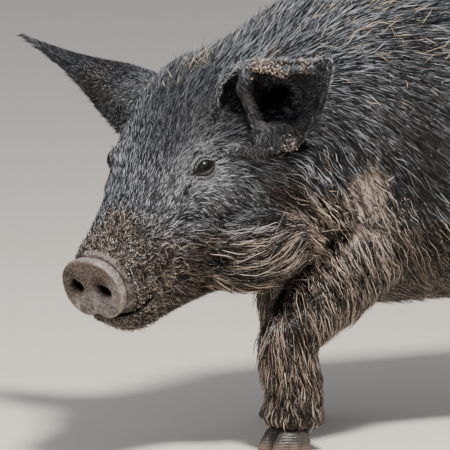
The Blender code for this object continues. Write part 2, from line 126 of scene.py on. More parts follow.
def make_camera():
    data = bpy.data.cameras.new("camera")
    data.lens = CAMERA_LENS
    camera = linked("camera", data)
    flat = math.cos(CAMERA_RISE)
    back = Vector((math.sin(CAMERA_AZIMUTH) * flat, -math.cos(CAMERA_AZIMUTH) * flat,
                   math.sin(CAMERA_RISE)))
    camera.location = middle("eye_left") + AIM_FROM_EYE + back * CAMERA_AWAY
    camera.rotation_euler = back.to_track_quat("Z", "Y").to_euler()
    bpy.context.scene.camera = camera


def make_lamp(name, place, power, size, colour=(1, 1, 1)):
    data = bpy.data.lights.new(name, "AREA")
    data.energy = power
    data.size = size
    data.color = colour
    lamp = linked(name, data)
    lamp.location = place
    lamp.rotation_euler = (Vector(place) - LAMP_AIM).to_track_quat("Z", "Y").to_euler()


def make_studio():
    build = bmesh.new()
    bmesh.ops.create_grid(build, x_segments=1, y_segments=1, size=30)
    floor = linked("floor", mesh_from(build, "floor"))
    pale = bpy.data.materials.new("pale_floor")
    pale.use_nodes = True
    shader = pale.node_tree.nodes["Principled BSDF"]
    shader.inputs["Base Color"].default_value = (0.62, 0.57, 0.5, 1)
    shader.inputs["Roughness"].default_value = 0.9
    floor.data.materials.append(pale)
    world = bpy.data.worlds.new("studio")
    world.use_nodes = True
    sky = world.node_tree.nodes["Background"]
    sky.inputs["Color"].default_value = (0.86, 0.9, 1.0, 1)
    sky.inputs["Strength"].default_value = 0.55
    bpy.context.scene.world = world
    make_lamp("key", (1.7, -0.7, 3.0), 250, 0.5, (1.0, 0.97, 0.93))
    make_lamp("front", (3.0, -3.2, 1.5), 50, 2.0)


# ---------------------------------------------------------------- meshes as rows of numbers
def new_piece(name, mesh, material, slot, *nodes):
    """Puts a finished mesh in the scene, in place of the nodes that it stands for."""
    piece = linked(name, mesh)
    mesh.materials.clear()
    mesh.materials.append(material)
    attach(piece, "root")
    if nodes:
        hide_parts(*nodes)


def applied(item):
    """An object's mesh with its modifiers in it; the object goes."""
    found = item.evaluated_get(bpy.context.evaluated_depsgraph_get())
    mesh = bpy.data.meshes.new_from_object(found)
    bpy.data.objects.remove(item)
    return mesh


def modified(mesh, *modifiers, coarse=None):
    """A mesh after modifiers, each given as its type and its settings; coarse has a weight
    for each point, kept in tenths in a group of that name."""
    item = linked("work", mesh)
    if coarse is not None:
        group = item.vertex_groups.new(name="coarse")
        steps = np.round(coarse * 10).astype(int)
        for step in range(1, 11):
            group.add(np.nonzero(steps == step)[0].tolist(), step / 10, "REPLACE")
    for kind, settings in modifiers:
        made = item.modifiers.new(kind, kind)
        for key, value in settings.items():
            setattr(made, key, value)
    return applied(item)


def positions(mesh):
    rows = np.empty(len(mesh.vertices) * 3, np.float32)
    mesh.vertices.foreach_get("co", rows)
    return rows.reshape(-1, 3).astype(float)


def set_positions(mesh, rows):
    mesh.vertices.foreach_set("co", rows.astype(np.float32).ravel())
    mesh.update()


def normals(mesh):
    rows = np.empty(len(mesh.vertices) * 3, np.float32)
    mesh.vertex_normals.foreach_get("vector", rows)
    return rows.reshape(-1, 3).astype(float)


def write_row(mesh, name, values):
    row = mesh.attributes.new(name, "FLOAT", "POINT")
    row.data.foreach_set("value", values.astype(np.float32))


def turned_outwards(mesh, smoothing=0.0):
    """Evens a closed mesh out by a share, faces it outwards and shades it smooth."""
    build = bmesh.new()
    build.from_mesh(mesh)
    if smoothing:
        bmesh.ops.smooth_vert(build, verts=build.verts, factor=smoothing, use_axis_x=True,
                              use_axis_y=True, use_axis_z=True)
    bmesh.ops.recalc_face_normals(build, faces=build.faces)
    build.to_mesh(mesh)
    build.free()
    mesh.shade_smooth()


def eased(low, high, values):
    """0 below low, 1 above high, and a smooth step between."""
    share = np.clip((values - low) / (high - low), 0, 1)
    return share * share * (3 - 2 * share)


def bell(distance, width):
    return np.exp(-((distance / width) ** 2))


def long(rows):
    return np.linalg.norm(rows, axis=-1)


def unit(rows):
    return rows / np.maximum(long(rows), 1e-9)[:, None]


# ---------------------------------------------------------------- finishes
class Value:
    """A number that varies over a surface, written with as in plain sums."""

    def __init__(self, finish, socket):
        self.finish = finish
        self.socket = socket

    def maths(self, operation, first, second):
        return self.finish.node("ShaderNodeMath", {"operation": operation},
                                {0: first, 1: second})

    def __add__(self, other):
        return self.maths("ADD", self, other)

    def __sub__(self, other):
        return self.maths("SUBTRACT", self, other)

    def __rsub__(self, other):
        return self.maths("SUBTRACT", other, self)

    def __mul__(self, other):
        return self.maths("MULTIPLY", self, other)

    def __pow__(self, other):
        return self.maths("POWER", self, other)

    def top(self, other):
        """The larger of the two."""
        return self.maths("MAXIMUM", self, other)

    __radd__ = __add__
    __rmul__ = __mul__


class Finish:
    """A material in the making."""

    def __init__(self, name, roughness, specular=0.5, **constants):
        self.material = bpy.data.materials.new(name)
        self.material.use_nodes = True
        self.tree = self.material.node_tree
        self.shader = self.tree.nodes["Principled BSDF"]
        self.shader.inputs["Roughness"].default_value = roughness
        self.shader.inputs["Specular IOR Level"].default_value = specular
        for socket, value in constants.items():
            self.shader.inputs[socket].default_value = value
        self.place = self.node("ShaderNodeTexCoord", {}, {}, "Object")

    def node(self, kind, settings, sockets, output=0):
        """Any other node: its settings first, then the values or links of its sockets."""
        made = self.tree.nodes.new(kind)
        for key, value in settings.items():
            setattr(made, key, value)
        for key, value in sockets.items():
            if isinstance(value, Value):
                self.tree.links.new(value.socket, made.inputs[key])
            else:
                made.inputs[key].default_value = value
        return Value(self, made.outputs[output])

    def attribute(self, name):
        return self.node("ShaderNodeAttribute", {"attribute_name": name}, {}, "Fac")

    def noise(self, scale, detail=2.0, place=None, output=0):
        sockets = {"Vector": place or self.place, "Scale": scale, "Detail": detail}
        return self.node("ShaderNodeTexNoise", {}, sockets, output)

    def cells(self, scale, place=None):
        sockets = {"Vector": place or self.place, "Scale": scale}
        return self.node("ShaderNodeTexVoronoi", {}, sockets)

    def rise(self, value, low, high):
        """0 below low, 1 above high; falls instead where low is the larger."""
        sockets = {"Value": value, "From Min": low, "From Max": high}
        return self.node("ShaderNodeMapRange", {"interpolation_type": "SMOOTHSTEP"}, sockets)

    def part_of(self, place, axis):
        """One coordinate of a place: 0, 1 or 2."""
        return self.node("ShaderNodeSeparateXYZ", {}, {0: place}, axis)

    def vector(self, operation, first, second):
        output = "Value" if operation == "DISTANCE" else "Vector"
        return self.node("ShaderNodeVectorMath", {"operation": operation},
                         {0: first, 1: second}, output)

    def mix(self, share, first, second):
        """A colour between two others."""
        first, second = (value if isinstance(value, Value) else (*value, 1)
                         for value in (first, second))
        return self.node("ShaderNodeMix", {"data_type": "RGBA"},
                         {0: share, 6: first, 7: second}, 2)

    def patches(self, scale, detail, low, high):
        return self.rise(self.noise(scale, detail), low, high)

    def layers(self, colour, *paints):
        """A colour with others laid over it in turn, each by its share."""
        for share, paint in paints:
            colour = self.mix(share, colour, paint)
        return colour

    def feed(self, socket, value):
        self.tree.links.new(value.socket, self.shader.inputs[socket])

    def paint_shade(self, share):
        """Painted shade: mixes in a black that gives no light back, for deep folds."""
        black = self.node("ShaderNodeBsdfPrincipled", {}, {
            "Base Color": (0.0012, 0.0012, 0.0012, 1), "Roughness": 1.0,
            "Specular IOR Level": 0.0})
        mixed = self.node("ShaderNodeMixShader", {}, {
            0: share, 1: Value(self, self.shader.outputs[0]), 2: black})
        self.tree.links.new(mixed.socket, self.tree.nodes["Material Output"].inputs["Surface"])

    def done(self, colour, roughness=None, height=None, depth=0.0):
        """The material, with a relief of a depth in metres."""
        self.feed("Base Color", colour)
        if roughness:
            self.feed("Roughness", roughness)
        if height:
            self.feed("Normal", self.node("ShaderNodeBump", {},
                                          {"Distance": depth, "Height": height}))
        return self.material


BLACK = (0.006, 0.0066, 0.008)
# Painted glints of the black hair.
GLINT_GREY = (0.9, 0.93, 1.0)
WARM_DARK = (0.0085, 0.0052, 0.0037)
# The brown hair's lightest colour: partly its own pale brown, partly painted glints.
PALE_BROWN_GLINT = (0.74, 0.575, 0.455)
DRY_MUD = (0.17, 0.12, 0.092)
PALE_MUD = (0.52, 0.44, 0.375)
# Whitish grains of mud, and painted glints.
GRAINS_AND_GLINTS = (0.88, 0.84, 0.8)
STRAW = (0.5, 0.39, 0.235)
# Near black: the wet edges of the lids and the lips, and at the mouth's line a painted shade
# between the lips.
WET = (0.006, 0.005, 0.005)
PUPIL_BLACK = (0.002, 0.002, 0.002)
EYE_WHITE = (0.011, 0.009, 0.009)  # dark, in the shade of the lids
# Pairs, the darker first.
BLACK_SKIN = (0.01, 0.009, 0.01), (0.03, 0.027, 0.028)
BROWN_SKIN = (0.02, 0.012, 0.009), (0.075, 0.048, 0.034)
EYE_RING = (0.045, 0.044, 0.047), (0.23, 0.23, 0.238)
BARE = (0.045, 0.03, 0.024), (0.165, 0.14, 0.128)
HORN = (0.012, 0.01, 0.01), (0.06, 0.048, 0.04)
DUSTY_HORN = (0.12, 0.085, 0.06), DRY_MUD
PINK = (0.055, 0.045, 0.039), (0.29, 0.248, 0.226)
SOIL = (0.03, 0.022, 0.017), (0.175, 0.13, 0.102)
IRIS = (0.003, 0.0025, 0.002), (0.01, 0.008, 0.007)
STRAW_COLOURS = (0.34, 0.25, 0.14), (0.72, 0.6, 0.42)
CRUMB_COLOURS = (0.09, 0.062, 0.045), (0.44, 0.355, 0.28)
RUBBED = (0.235, 0.17, 0.135), (0.42, 0.318, 0.258)

EAR_HOLLOW = (96, 263, 164)
# Where dried mud has been rubbed into the shoulder: place, half size and strength.
RUBBED_PLACES = ((body_place(98, -194, 300), 38, 1.0), (body_place(96, -186, 268), 36, 1.0),
                 (body_place(96, -178, 240), 24, 0.9), (body_place(89, -244, 342), 14, 0.8))


def ear_hollow(side):
    return head_place(EAR_HOLLOW[0] * side, *EAR_HOLLOW[1:])


class Markings:
    """Where the animal is brown, muddy or bare, and where light and shade are painted on it: one
    set for the skin and the coat.
    """

    def __init__(self, finish):
        self.finish = finish
        wander = finish.noise(16, 3, output="Color")
        shift = finish.vector("MULTIPLY", finish.vector("SUBTRACT", wander, (0.5, 0.5, 0.5)),
                              (0.07, 0.07, 0.07))
        self.place = finish.vector("ADD", finish.place, shift)
        self.fine = finish.noise(170, 3)
        self.patchy = finish.noise(30, 3)
        height = finish.part_of(self.place, 2)
        # Brown with dried mud: the muzzle, the jaw, the throat and all that is low.
        muzzle = self.ball(head_place(0, 25, 45), 72, 30)
        jaw = self.ball(head_place(45, 95, -22), 52, 40)
        jowl = self.ball(head_place(105, 205, -20), 62, 50)
        brisket = self.ball(body_place(30, -250, 235), 90, 50)
        low = finish.rise(height, 0.315, 0.215)
        far_ear = self.ball(head_place(-120, 235, 180), 30, 40)
        side = self.ball(head_place(118, 245, 42), 36, 32)
        warm = (muzzle.top(jaw).top(jowl * 0.8).top(brisket * 0.9).top(low)
                .top(far_ear * 0.5).top(side * 0.75))
        self.brown = finish.rise(warm * 0.75 + self.patchy * 0.6, 0.38, 0.9)
        # Caked with pale mud: the shoulder's rubbed places and the mane.
        rubbed = finish.rise(finish.attribute("rubbed") + (self.patchy - 0.5) * 0.9, 0.1, 0.85)
        mane = self.ball(body_place(35, -170, 505), 50, 40)
        crusted = muzzle * 0.1 + low * 0.05 + jaw * 0.1 + mane * 0.42
        self.mud = finish.rise(rubbed + crusted * 0.7 + self.patchy * 0.3
                               + finish.noise(75, 3) * 0.45, 0.66, 1.06)
        # How bright the brown hair and then the black hair come out, place by place: partly their
        # own tone, partly painted light and shade, brighter glints on the side of the face and
        # painted shade on the shoulder, the belly and the ears.
        self.ring = self.pair(map(middle, EYES), 30, 22)
        cheek = self.ball(head_place(82, 125, 75), 45, 35)
        forehead = self.ball(head_place(30, 200, 170), 70, 35)
        # Painted shade on the shoulder.
        shoulder_shade = self.ball(body_place(105, -100, 345), 48, 75)
        under_ear = self.ball(head_place(130, 224, 132), 26, 14)
        low_neck = self.ball(body_place(80, -235, 255), 45, 30)
        other_ear = self.ball(head_place(-150, 220, 200), 80, 30)
        near_ear = self.ball(head_place(150, 235, 180), 60, 30)
        along = finish.part_of(self.place, 1)
        # Painted shade under the belly.
        belly = finish.rise(along, -0.15, -0.105) * finish.rise(height, 0.27, 0.225)
        self.brown_tone_and_shading = (1.12 + low_neck * 0.62 + side * 0.2 - belly * 0.6
                     - muzzle * 0.3 - other_ear * 0.6)
        self.tone = (0.86 + self.ring * 0.45 + cheek * 0.38 + mane * 0.26 - forehead * 0.58
                     - shoulder_shade * 0.58 + side * 0.2 - near_ear * 0.52 - under_ear * 0.2
                     - other_ear * 0.65)
        # Painted shade in the hollows of the ears.
        self.ear_shade = self.pair((ear_hollow(1), ear_hollow(-1)), 21, 10)
        # Whitish grains of mud, and painted glints, over the muzzle, the rubbed places and low
        # down.
        grains = finish.rise(finish.cells(420, self.place), 0.38, 0.18)
        self.grains_and_glints = (grains * finish.patches(95, 2, 0.46, 0.6)
                       * muzzle.top(rubbed * 0.8).top(low * 0.35))

    def ball(self, centre, radius, fade):
        """1 inside a ball and 0 outside it, with a soft edge."""
        away = self.finish.vector("DISTANCE", self.place, centre)
        return self.finish.rise(away, (radius + fade) * MM, (radius - fade) * MM)

    def pair(self, places, radius, fade):
        """Two balls of one size."""
        left, right = (self.ball(place, radius, fade) for place in places)
        return left.top(right)


def skin_finish():
    finish = Finish("skin", 0.62, 0.3)
    marks = Markings(finish)
    wet = finish.attribute("wet")
    colour = finish.layers(
        finish.mix(marks.fine, *BLACK_SKIN),
        (marks.ring, finish.mix(finish.patches(700, 2, 0.35, 0.68), *EYE_RING)),
        (marks.brown, finish.mix(marks.fine, *BROWN_SKIN)),
        (marks.mud * 0.9, finish.mix(finish.patches(230, 3, 0.25, 0.7), *RUBBED)),
        (finish.attribute("bare"), finish.mix(finish.rise(marks.patchy, 0.35, 0.65), *BARE)),
        (wet, WET))
    # Painted shade: black in the hollows of the ears and in the creases.
    finish.paint_shade(marks.ear_shade.top(finish.rise(finish.attribute("crease_shade"), 0.0, 0.6) * 0.95))
    wrinkles = finish.cells(190) * 0.5 + finish.noise(420, 3) * 0.5
    return finish.done(colour, 0.68 - marks.fine * 0.2 - wet * 0.35, wrinkles, 0.0012)


def coat_finish():
    """Black hair with painted grey glints, brown with pale ones partly painted as glints, both
    with painted shade towards the root.
    """
    finish = Finish("bristles", 0.33, 0.42)
    marks = Markings(finish)
    shade = finish.attribute("shade")
    # Painted shade towards each tuft's root and along its edges, and a painted glint along its
    # ridge.
    root_shade_ridge_glint = ((0.3 + finish.attribute("along") * 0.7)
             * (0.25 + finish.attribute("ridge_glint") * 0.75))
    # Painted glints on the black hair, where a tuft's shade runs high.
    grey_glint = finish.rise(shade, 0.42, 0.88) ** 1.6 * root_shade_ridge_glint * marks.tone
    # Pale brown and painted glints on the brown hair, where a tuft's shade runs high.
    warm = finish.rise(shade, 0.48, 0.9) ** 1.5 * root_shade_ridge_glint * marks.brown_tone_and_shading
    colour = finish.layers(
        finish.mix(grey_glint, BLACK, GLINT_GREY),
        (marks.brown, finish.mix(warm, WARM_DARK, PALE_BROWN_GLINT)),
        (marks.mud * finish.rise(shade, 0.3, 0.75), finish.mix(marks.fine, DRY_MUD, PALE_MUD)),
        (marks.grains_and_glints, GRAINS_AND_GLINTS),
        (finish.attribute("straw"), finish.mix(shade, DRY_MUD, STRAW)))
    # Painted shade: black in the hollows of the ears and in the creases that the hair crosses.
    finish.paint_shade(marks.ear_shade.top(finish.rise(finish.attribute("crease_shade"), 0.1, 0.95) * 0.92))
    return finish.done(colour, 0.29 - marks.brown * 0.07 + marks.mud * 0.4)


def grainy_finish(name, roughness, specular, share, colours, grain, relief):
    """Dried mud or straw: two colours in patches, over a fine grain."""
    finish = Finish(name, roughness, specular)
    share = finish.patches(*share) if len(share) > 2 else finish.noise(*share)
    return finish.done(finish.mix(share, *colours), None, finish.noise(grain, 2), relief)


def horn_finish():
    finish = Finish("horn", 0.5, 0.4)
    height = finish.part_of(finish.place, 2)
    streaks = finish.noise(260, 3, finish.vector("MULTIPLY", finish.place, (1, 1, 0.12)))
    rings = finish.node("ShaderNodeTexWave", {"bands_direction": "Z"},
                        {"Vector": finish.place, "Scale": 95.0, "Distortion": 3.0}, 1)
    dusty = finish.rise(height + finish.noise(60, 3) * 0.03, 0.034, 0.016)
    colour = finish.layers(finish.mix(streaks, *HORN),
                           (dusty * 0.75, finish.mix(streaks, *DUSTY_HORN)))
    return finish.done(colour, 0.42 + dusty * 0.4, rings * 0.5 + streaks * 0.5, 0.0008)


def snout_finish():
    finish = Finish("snout_skin", 0.55, 0.4)
    depth = finish.attribute("depth")
    rim = finish.attribute("rim")
    patchy = finish.noise(75, 4)
    fine = finish.noise(520, 3)
    mottle = finish.patches(240, 3, 0.36, 0.64)
    grains = finish.rise(finish.cells(560), 0.26, 0.12) * finish.patches(130, 2, 0.5, 0.62)
    soiled = finish.rise(finish.attribute("soil") + (patchy - 0.5) * 1.5, 0.3, 0.75)
    about = finish.attribute("about") * finish.rise(patchy, 0.25, 0.6)
    colour = finish.layers(
        finish.mix(finish.rise(patchy, 0.35, 0.7) * 0.5 + mottle * 0.5, *PINK),
        (soiled, finish.mix(finish.rise(fine, 0.36, 0.64), *SOIL)),
        # Painted highlight along the disc's rim.
        (rim * 0.3, (0.22, 0.165, 0.13)),
        (finish.rise(finish.cells(330), 0.26, 0.12) * 0.5, (0.035, 0.024, 0.019)),
        (grains * 0.8, PALE_MUD),
        (about * 0.9, (0.016, 0.009, 0.006)),
        # Painted shade deep in the nostrils.
        (finish.rise(depth, 0.02, 0.45), (0.008, 0.005, 0.004)))
    # Painted shade: black deep in the nostrils; the stain about them is darkened with the same
    # black.
    finish.paint_shade((about * 0.55).top(finish.rise(depth, 0.05, 0.6) * 0.9))
    relief = finish.cells(330) * 0.35 + fine * 0.35 + mottle * 0.3
    return finish.done(colour, 0.5 + soiled * 0.3 - rim * 0.1, relief, 0.002)


def eye_finish():
    finish = Finish("eye", 0.4, 0.07, **{"Coat Weight": 0.13, "Coat Roughness": 0.09})
    return finish.done(finish.layers(
        finish.mix(finish.noise(900, 3), *IRIS),
        (finish.rise(finish.attribute("pupil"), 1.1, 0.9), PUPIL_BLACK),
        (finish.rise(finish.attribute("off"), 0.62, 0.7), EYE_WHITE)))


# ---------------------------------------------------------------- skin
VOXEL = 0.0026
SKIN_TRIANGLES = 118000
FINE_EDGE = 0.001
EYE_FILL = 0.001


def ball_built(centre, radius, subdivisions):
    build = bmesh.new()
    bmesh.ops.create_icosphere(build, subdivisions=subdivisions, radius=radius,
                               matrix=Matrix.Translation(centre))
    return build


def merged_copy(node, swell):
    """A closed copy of a node's mesh, a little swollen so that it runs into its neighbours."""
    build = bmesh.new()
    build.from_mesh(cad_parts[node].data)
    bmesh.ops.remove_doubles(build, verts=build.verts, dist=1e-5)
    build.normal_update()
    for vertex in build.verts:
        vertex.co += vertex.normal * swell
    return build


class Nodes:
    """Tells which node a point of the body belongs to."""

    def __init__(self):
        points = []
        faces = []
        self.owner = []
        for index, node in enumerate(FLESH):
            build = merged_copy(node, 0)
            start = len(points)
            points += [vertex.co.copy() for vertex in build.verts]
            faces += [[start + vertex.index for vertex in face.verts] for face in build.faces]
            self.owner += [index] * len(build.faces)
            build.free()
        self.tree = BVHTree.FromPolygons(points, faces)

    def of(self, rows):
        return np.array([self.owner[self.tree.find_nearest(row)[2]] for row in rows.tolist()])


def fused_flesh():
    """The nodes of flesh as one closed surface, with the eye sockets filled."""
    solids = [merged_copy(node, 0.0005) for node in FLESH]
    solids += [ball_built(middle(eye), EYE_RADIUS + EYE_FILL, 3) for eye in EYES]
    for start, end, radius in EAR_PADS.values():
        start, end = head_place(*start), head_place(*end)
        steps = max(math.ceil((end - start).length / (0.5 * radius * MM)), 1)
        for step in range(steps + 1):
            solids.append(ball_built(start.lerp(end, step / steps), radius * MM, 2))
    build = bmesh.new()
    for solid in solids:
        mesh = mesh_from(solid, "solid")
        build.from_mesh(mesh)
        bpy.data.meshes.remove(mesh)
    return modified(
        mesh_from(build, "flesh"),
        ("REMESH", {"mode": "VOXEL", "voxel_size": VOXEL}),
        ("SMOOTH", {"factor": 0.5, "iterations": 10}),
    )


def thinned(mesh, nodes):
    """Fewer triangles on the trunk and legs than on the head and ears."""
    part = nodes.of(positions(mesh))
    fine = np.isin(part, [FLESH.index(node) for node in ("head", "lower_jaw", *EARS)])
    weights = np.where(fine, 0.3, 1.0)
    triangles = sum(len(face.vertices) - 2 for face in mesh.polygons)
    return modified(
        mesh,
        ("DECIMATE", {"ratio": SKIN_TRIANGLES / triangles, "vertex_group": "coarse"}),
        ("TRIANGULATE", {}),
        coarse=weights,
    )


def refined(mesh):
    """Finer triangles round the eyes and the mouth."""
    build = bmesh.new()
    build.from_mesh(mesh)
    eyes = [middle(eye) for eye in EYES]
    for reach in (0.024, 0.019):
        edges = []
        for edge in build.edges:
            if edge.calc_length() < FINE_EDGE * 1.3:
                continue
            at = (edge.verts[0].co + edge.verts[1].co) / 2
            lips = HEAD_INVERSE @ at
            by_mouth = lips.y < 0.056 and abs(lips.z - 0.004) < reach * 0.4
            by_snout = lips.y < 0.028 and lips.z < 0.09
            if by_mouth or by_snout or min((at - eye).length for eye in eyes) < reach:
                edges.append(edge)
        bmesh.ops.subdivide_edges(build, edges=edges, cuts=1)
        bmesh.ops.triangulate(build, faces=build.faces)
    build.to_mesh(mesh)
    build.free()
    return mesh


# Creases and pads of the face in the head's own frame, on the left; the right mirrors them.
CREASES = {
    "nose 1": ((0, 32, 84), (34, 30, 60), 2.2, 1.6),
    "nose 2": ((0, 47, 90), (40, 43, 62), 2.8, 1.6),
    "nose 3": ((0, 64, 98), (36, 62, 76), 3.2, 1.3),
    "mouth corner": ((44, 42, 8), (66, 78, 30), 4.5, 3),
    "lip": ((50, 36, 24), (60, 72, 44), 5, 2),
    "tear": ((62, 139, 115), (56, 122, 98), 3.6, 2.4),
    "eye corner": ((78, 172, 122), (82, 181, 118), 1.8, 3),
    "under eye": ((58, 124, 96), (88, 168, 84), 5, 2),
    "eye bag": ((56, 104, 80), (92, 176, 60), 6.5, 2.2),
    "brow": ((52, 142, 148), (88, 196, 136), 4, 1.8),
    "brow high": ((40, 148, 162), (84, 212, 150), 5.5, 1.4),
    "cheek": ((92, 145, 35), (118, 225, 62), 9, 2.2),
    "jaw": ((62, 98, 16), (100, 165, 18), 8, 3.5),
    "ear foot": ((92, 226, 132), (128, 262, 110), 6, 9),
    "under jaw": ((78, 110, -28), (98, 178, -44), 8.5, 12),
    "under jowl": ((90, 160, -50), (104, 222, -42), 9.5, 23),
    "below jowl": ((104, 222, -42), (128, 268, -24), 8.5, 21),
    "behind jowl": ((128, 268, -24), (148, 294, -6), 7, 8),
}
# Broad hollows, without the dark of a crease.
DIPS = {
    "leg top": ((100, 195, -66), (130, 258, -46), 17, 12),
}
# Where a part lies close over another and keeps the light off: no hollow, only the dark.
SHADES = {
    "throat": ((78, 190, -74), (105, 224, -53), 17.5),
    "throat back": ((105, 224, -53), (127, 254, -36), 12),
    "throat end": ((127, 254, -36), (134, 270, -24), 7),
    "ear foot": ((106, 233, 116), (130, 272, 102), 12),
}
PADS = {
    "brow": ((70, 168, 145), 16, 3),
    "cheekbone": ((86, 150, 78), 20, 3),
    "cheek": ((108, 195, 40), 32, 4),
    "lip": ((47, 30, 15), 11, 2.2),
    "chin": ((22, 40, -20), 14, 1.5),
    "jowl": ((112, 212, -16), 24, 8),
    "jowl back": ((128, 250, -2), 20, 6),
}
# Folds that stand up inside the ears, from a place to another, how wide and how high.
EAR_FOLDS = {
    "rim": ((108, 242, 200), (196, 240, 218), 6, 4),
}
# Rolls and lobes that fill the left ear, as rows of balls from a place to another: radius last.
EAR_PADS = {
    "roll front": ((113.5, 233.2, 219), (150.8, 237.3, 213), 6.8),
    "roll back": ((150.8, 237.3, 213), (197.5, 238, 224), 5.6),
    "lobe high": ((101, 229, 208), (90, 229, 191.9), 10),
    "lobe low": ((90, 229, 191.9), (98, 229, 156), 12),
    "floor front": ((105, 223.3, 142), (145.4, 242.4, 137.2), 12.5),
    "floor back": ((145.4, 242.4, 137.2), (170, 252, 158), 10.5),
    "floor low": ((108, 216, 134), (145, 226, 128), 10),
    "knob": ((115.1, 260.8, 153.9), (120, 262, 148), 8),
    "wall": ((156, 264, 162), (184, 256, 196), 10),
}
LIDS = dict(half_length=0.0165, upper=0.0082, lower=0.0066, edge=0.0012, blend=(0.005, 0.016))
BALL_RADIUS = 0.0132
MOUTH_LEVEL = 0.001
# The mouth's line and the lips over and under it: how high above the line, how wide and how
# far out, in metres.
LIPS = ((0, 0.0024, -0.008), (0.006, 0.003, 0.0012), (-0.007, 0.004, 0.0024))
SLIT_WAY = Vector((0.46, 0.87, 0.16))  # inner to outer corner of the left eye, in the head


def eye_axes(eye, points, surface):
    """Centre, slit, up and out of an eye, whose gaze follows the skin about it."""
    side = 1 if eye == "eye_left" else -1
    centre = np.array(middle(eye))
    far = long(points - centre)
    about = (far < 0.03) & (far > 0.016)
    out = unit(surface[about].mean(axis=0)[None])[0]
    slit = turned_from_head(np.array([[SLIT_WAY.x * side, SLIT_WAY.y, SLIT_WAY.z]]))[0]
    slit = unit((slit - out * slit.dot(out))[None])[0]
    up = np.cross(out, slit) * side
    return centre, slit, up, out


def almond(across, rise):
    """Distance outside the edge of the eye's opening; the height of its lids in turn."""
    half = LIDS["half_length"]
    over = []
    for height, sign in ((LIDS["upper"], 1), (LIDS["lower"], -1)):
        radius = (half**2 + height**2) / (2 * height)
        over.append(np.hypot(across, rise - sign * (height - radius)) - radius)
    return np.maximum(*over)


def opened_eye(points, axes):
    """Draws the skin round an eye into lids over its ball."""
    centre, slit, up, out = axes
    offset = points - centre
    far = long(offset)
    across = np.arctan2(offset @ slit, offset @ out) * BALL_RADIUS
    rise = np.arctan2(offset @ up, offset @ out) * BALL_RADIUS
    edge = almond(across, rise)
    above = eased(-0.003, 0.003, rise)
    lid = BALL_RADIUS + LIDS["edge"] + 0.0012 * eased(0, 0.006, edge)
    lid -= above * (0.0018 * bell(edge - 0.0036, 0.001) + 0.002 * bell(edge - 0.0098, 0.0015))
    lid -= (1 - above) * 0.0014 * bell(edge - 0.0038, 0.0011)
    lid = np.where(edge < -0.0002, BALL_RADIUS - 0.003, lid)
    share = eased(LIDS["blend"][1], LIDS["blend"][0], edge) * (far < 0.04)
    moved = far + (lid - far) * share
    return centre + offset * (moved / np.maximum(far, 1e-6))[:, None], edge


def ear_inside(surface, side):
    """1 where the surface faces forwards and outwards, as the inside of an ear does."""
    facing = turned_from_head(np.array([[0.6 * side, -0.8, 0.0]]))[0]
    return eased(-0.1, 0.4, surface @ facing)


def from_line(rows, start, end):
    """Distance of each place from a straight line, and the share of the way along it."""
    line = end - start
    share = np.clip((rows - start) @ line / line.dot(line), 0, 1)
    return long(rows - start - share[:, None] * line), share


def on_lines(table, rows):
    """For each row of a table and its mirror image: its side, each point's distance from
    its line and share of the way along it, and the row's sizes."""
    for start, end, *sizes in table.values():
        for side in (1, -1):
            mirror = np.array((side, 1, 1)) * MM
            far, share = from_line(rows, start * mirror, end * mirror)
            yield side, far, share, *(size * MM for size in sizes)


def folded(points, surface):
    """Presses creases into the face and raises its pads; the mouth and the snout's band. Also
    gives back a painted shade for the creases, the shaded lines and the snout's grooves.
    """
    rows = in_head(points)
    push = np.zeros(len(points))
    for _, far, share, width, depth in on_lines(CREASES, rows):
        push -= depth * bell(far, width) * (0.55 + 0.45 * np.sin(np.pi * share))
    # Painted shade: the deeper a crease, the darker it is painted.
    crease_shade = np.clip(-push / 0.004, 0, 1)
    for _, far, _, width in on_lines(SHADES, rows):
        crease_shade = np.maximum(crease_shade, eased(width * 1.25, width * 0.55, far))
    for _, far, _, width, depth in on_lines(DIPS, rows):
        push -= depth * bell(far, width)
    for side, far, _, width, height in on_lines(EAR_FOLDS, rows):
        push += height * bell(far, width) * ear_inside(surface, side)
    for centre, radius, height in PADS.values():
        for side in (1, -1):
            far = long(rows - np.array(centre) * MM * (side, 1, 1))
            push += height * MM * bell(far, radius * MM)
    x, y, z = rows.T
    mouth = eased(0.056, 0.044, y) * (z < 0.02)
    above_mouth = z - mouth_level(rows)
    for place, width, height in LIPS:
        push += height * bell(above_mouth - place, width) * mouth
    upper = eased(0.000, 0.012, z)
    push -= upper * 0.0016 * eased(0.036, 0.024, y)
    push -= upper * 0.0006 * eased(0.0165, 0.014, y)
    groove = bell(y - (0.0255 + 0.0012 * np.sin(x * 160)), 0.0013)
    push -= upper * 0.0013 * groove
    # Painted shade in the grooves behind the snout's disc.
    behind_disc = bell(y - 0.015, 0.0011)
    crease_shade = np.maximum(crease_shade, upper * np.maximum(0.22 * groove, 0.3 * behind_disc))
    forward = turned_from_head(np.array([[0, -0.0026, 0]]))
    ahead = (upper * eased(0.0185, 0.014, y))[:, None] * forward
    return points + surface * push[:, None] + ahead, crease_shade


def mouth_level(rows):
    """The height of the mouth's line, which rises towards its corner."""
    return MOUTH_LEVEL + 0.007 * eased(0.02, 0.045, rows[:, 1])


def mouth_share(rows):
    """The dark line between the lips, a painted shade, in the head's own frame."""
    return bell(rows[:, 2] - mouth_level(rows), 0.0034) * eased(0.054, 0.046, rows[:, 1])


def bare_share(rows):
    """How bare the skin is, behind the snout's disc, in the head's own frame."""
    x, y, z = rows.T
    edge = y + 0.0022 * np.sin(x * 310) * np.cos(z * 260)
    return eased(0.03, 0.0175, edge) * eased(0.004, 0.016, z)


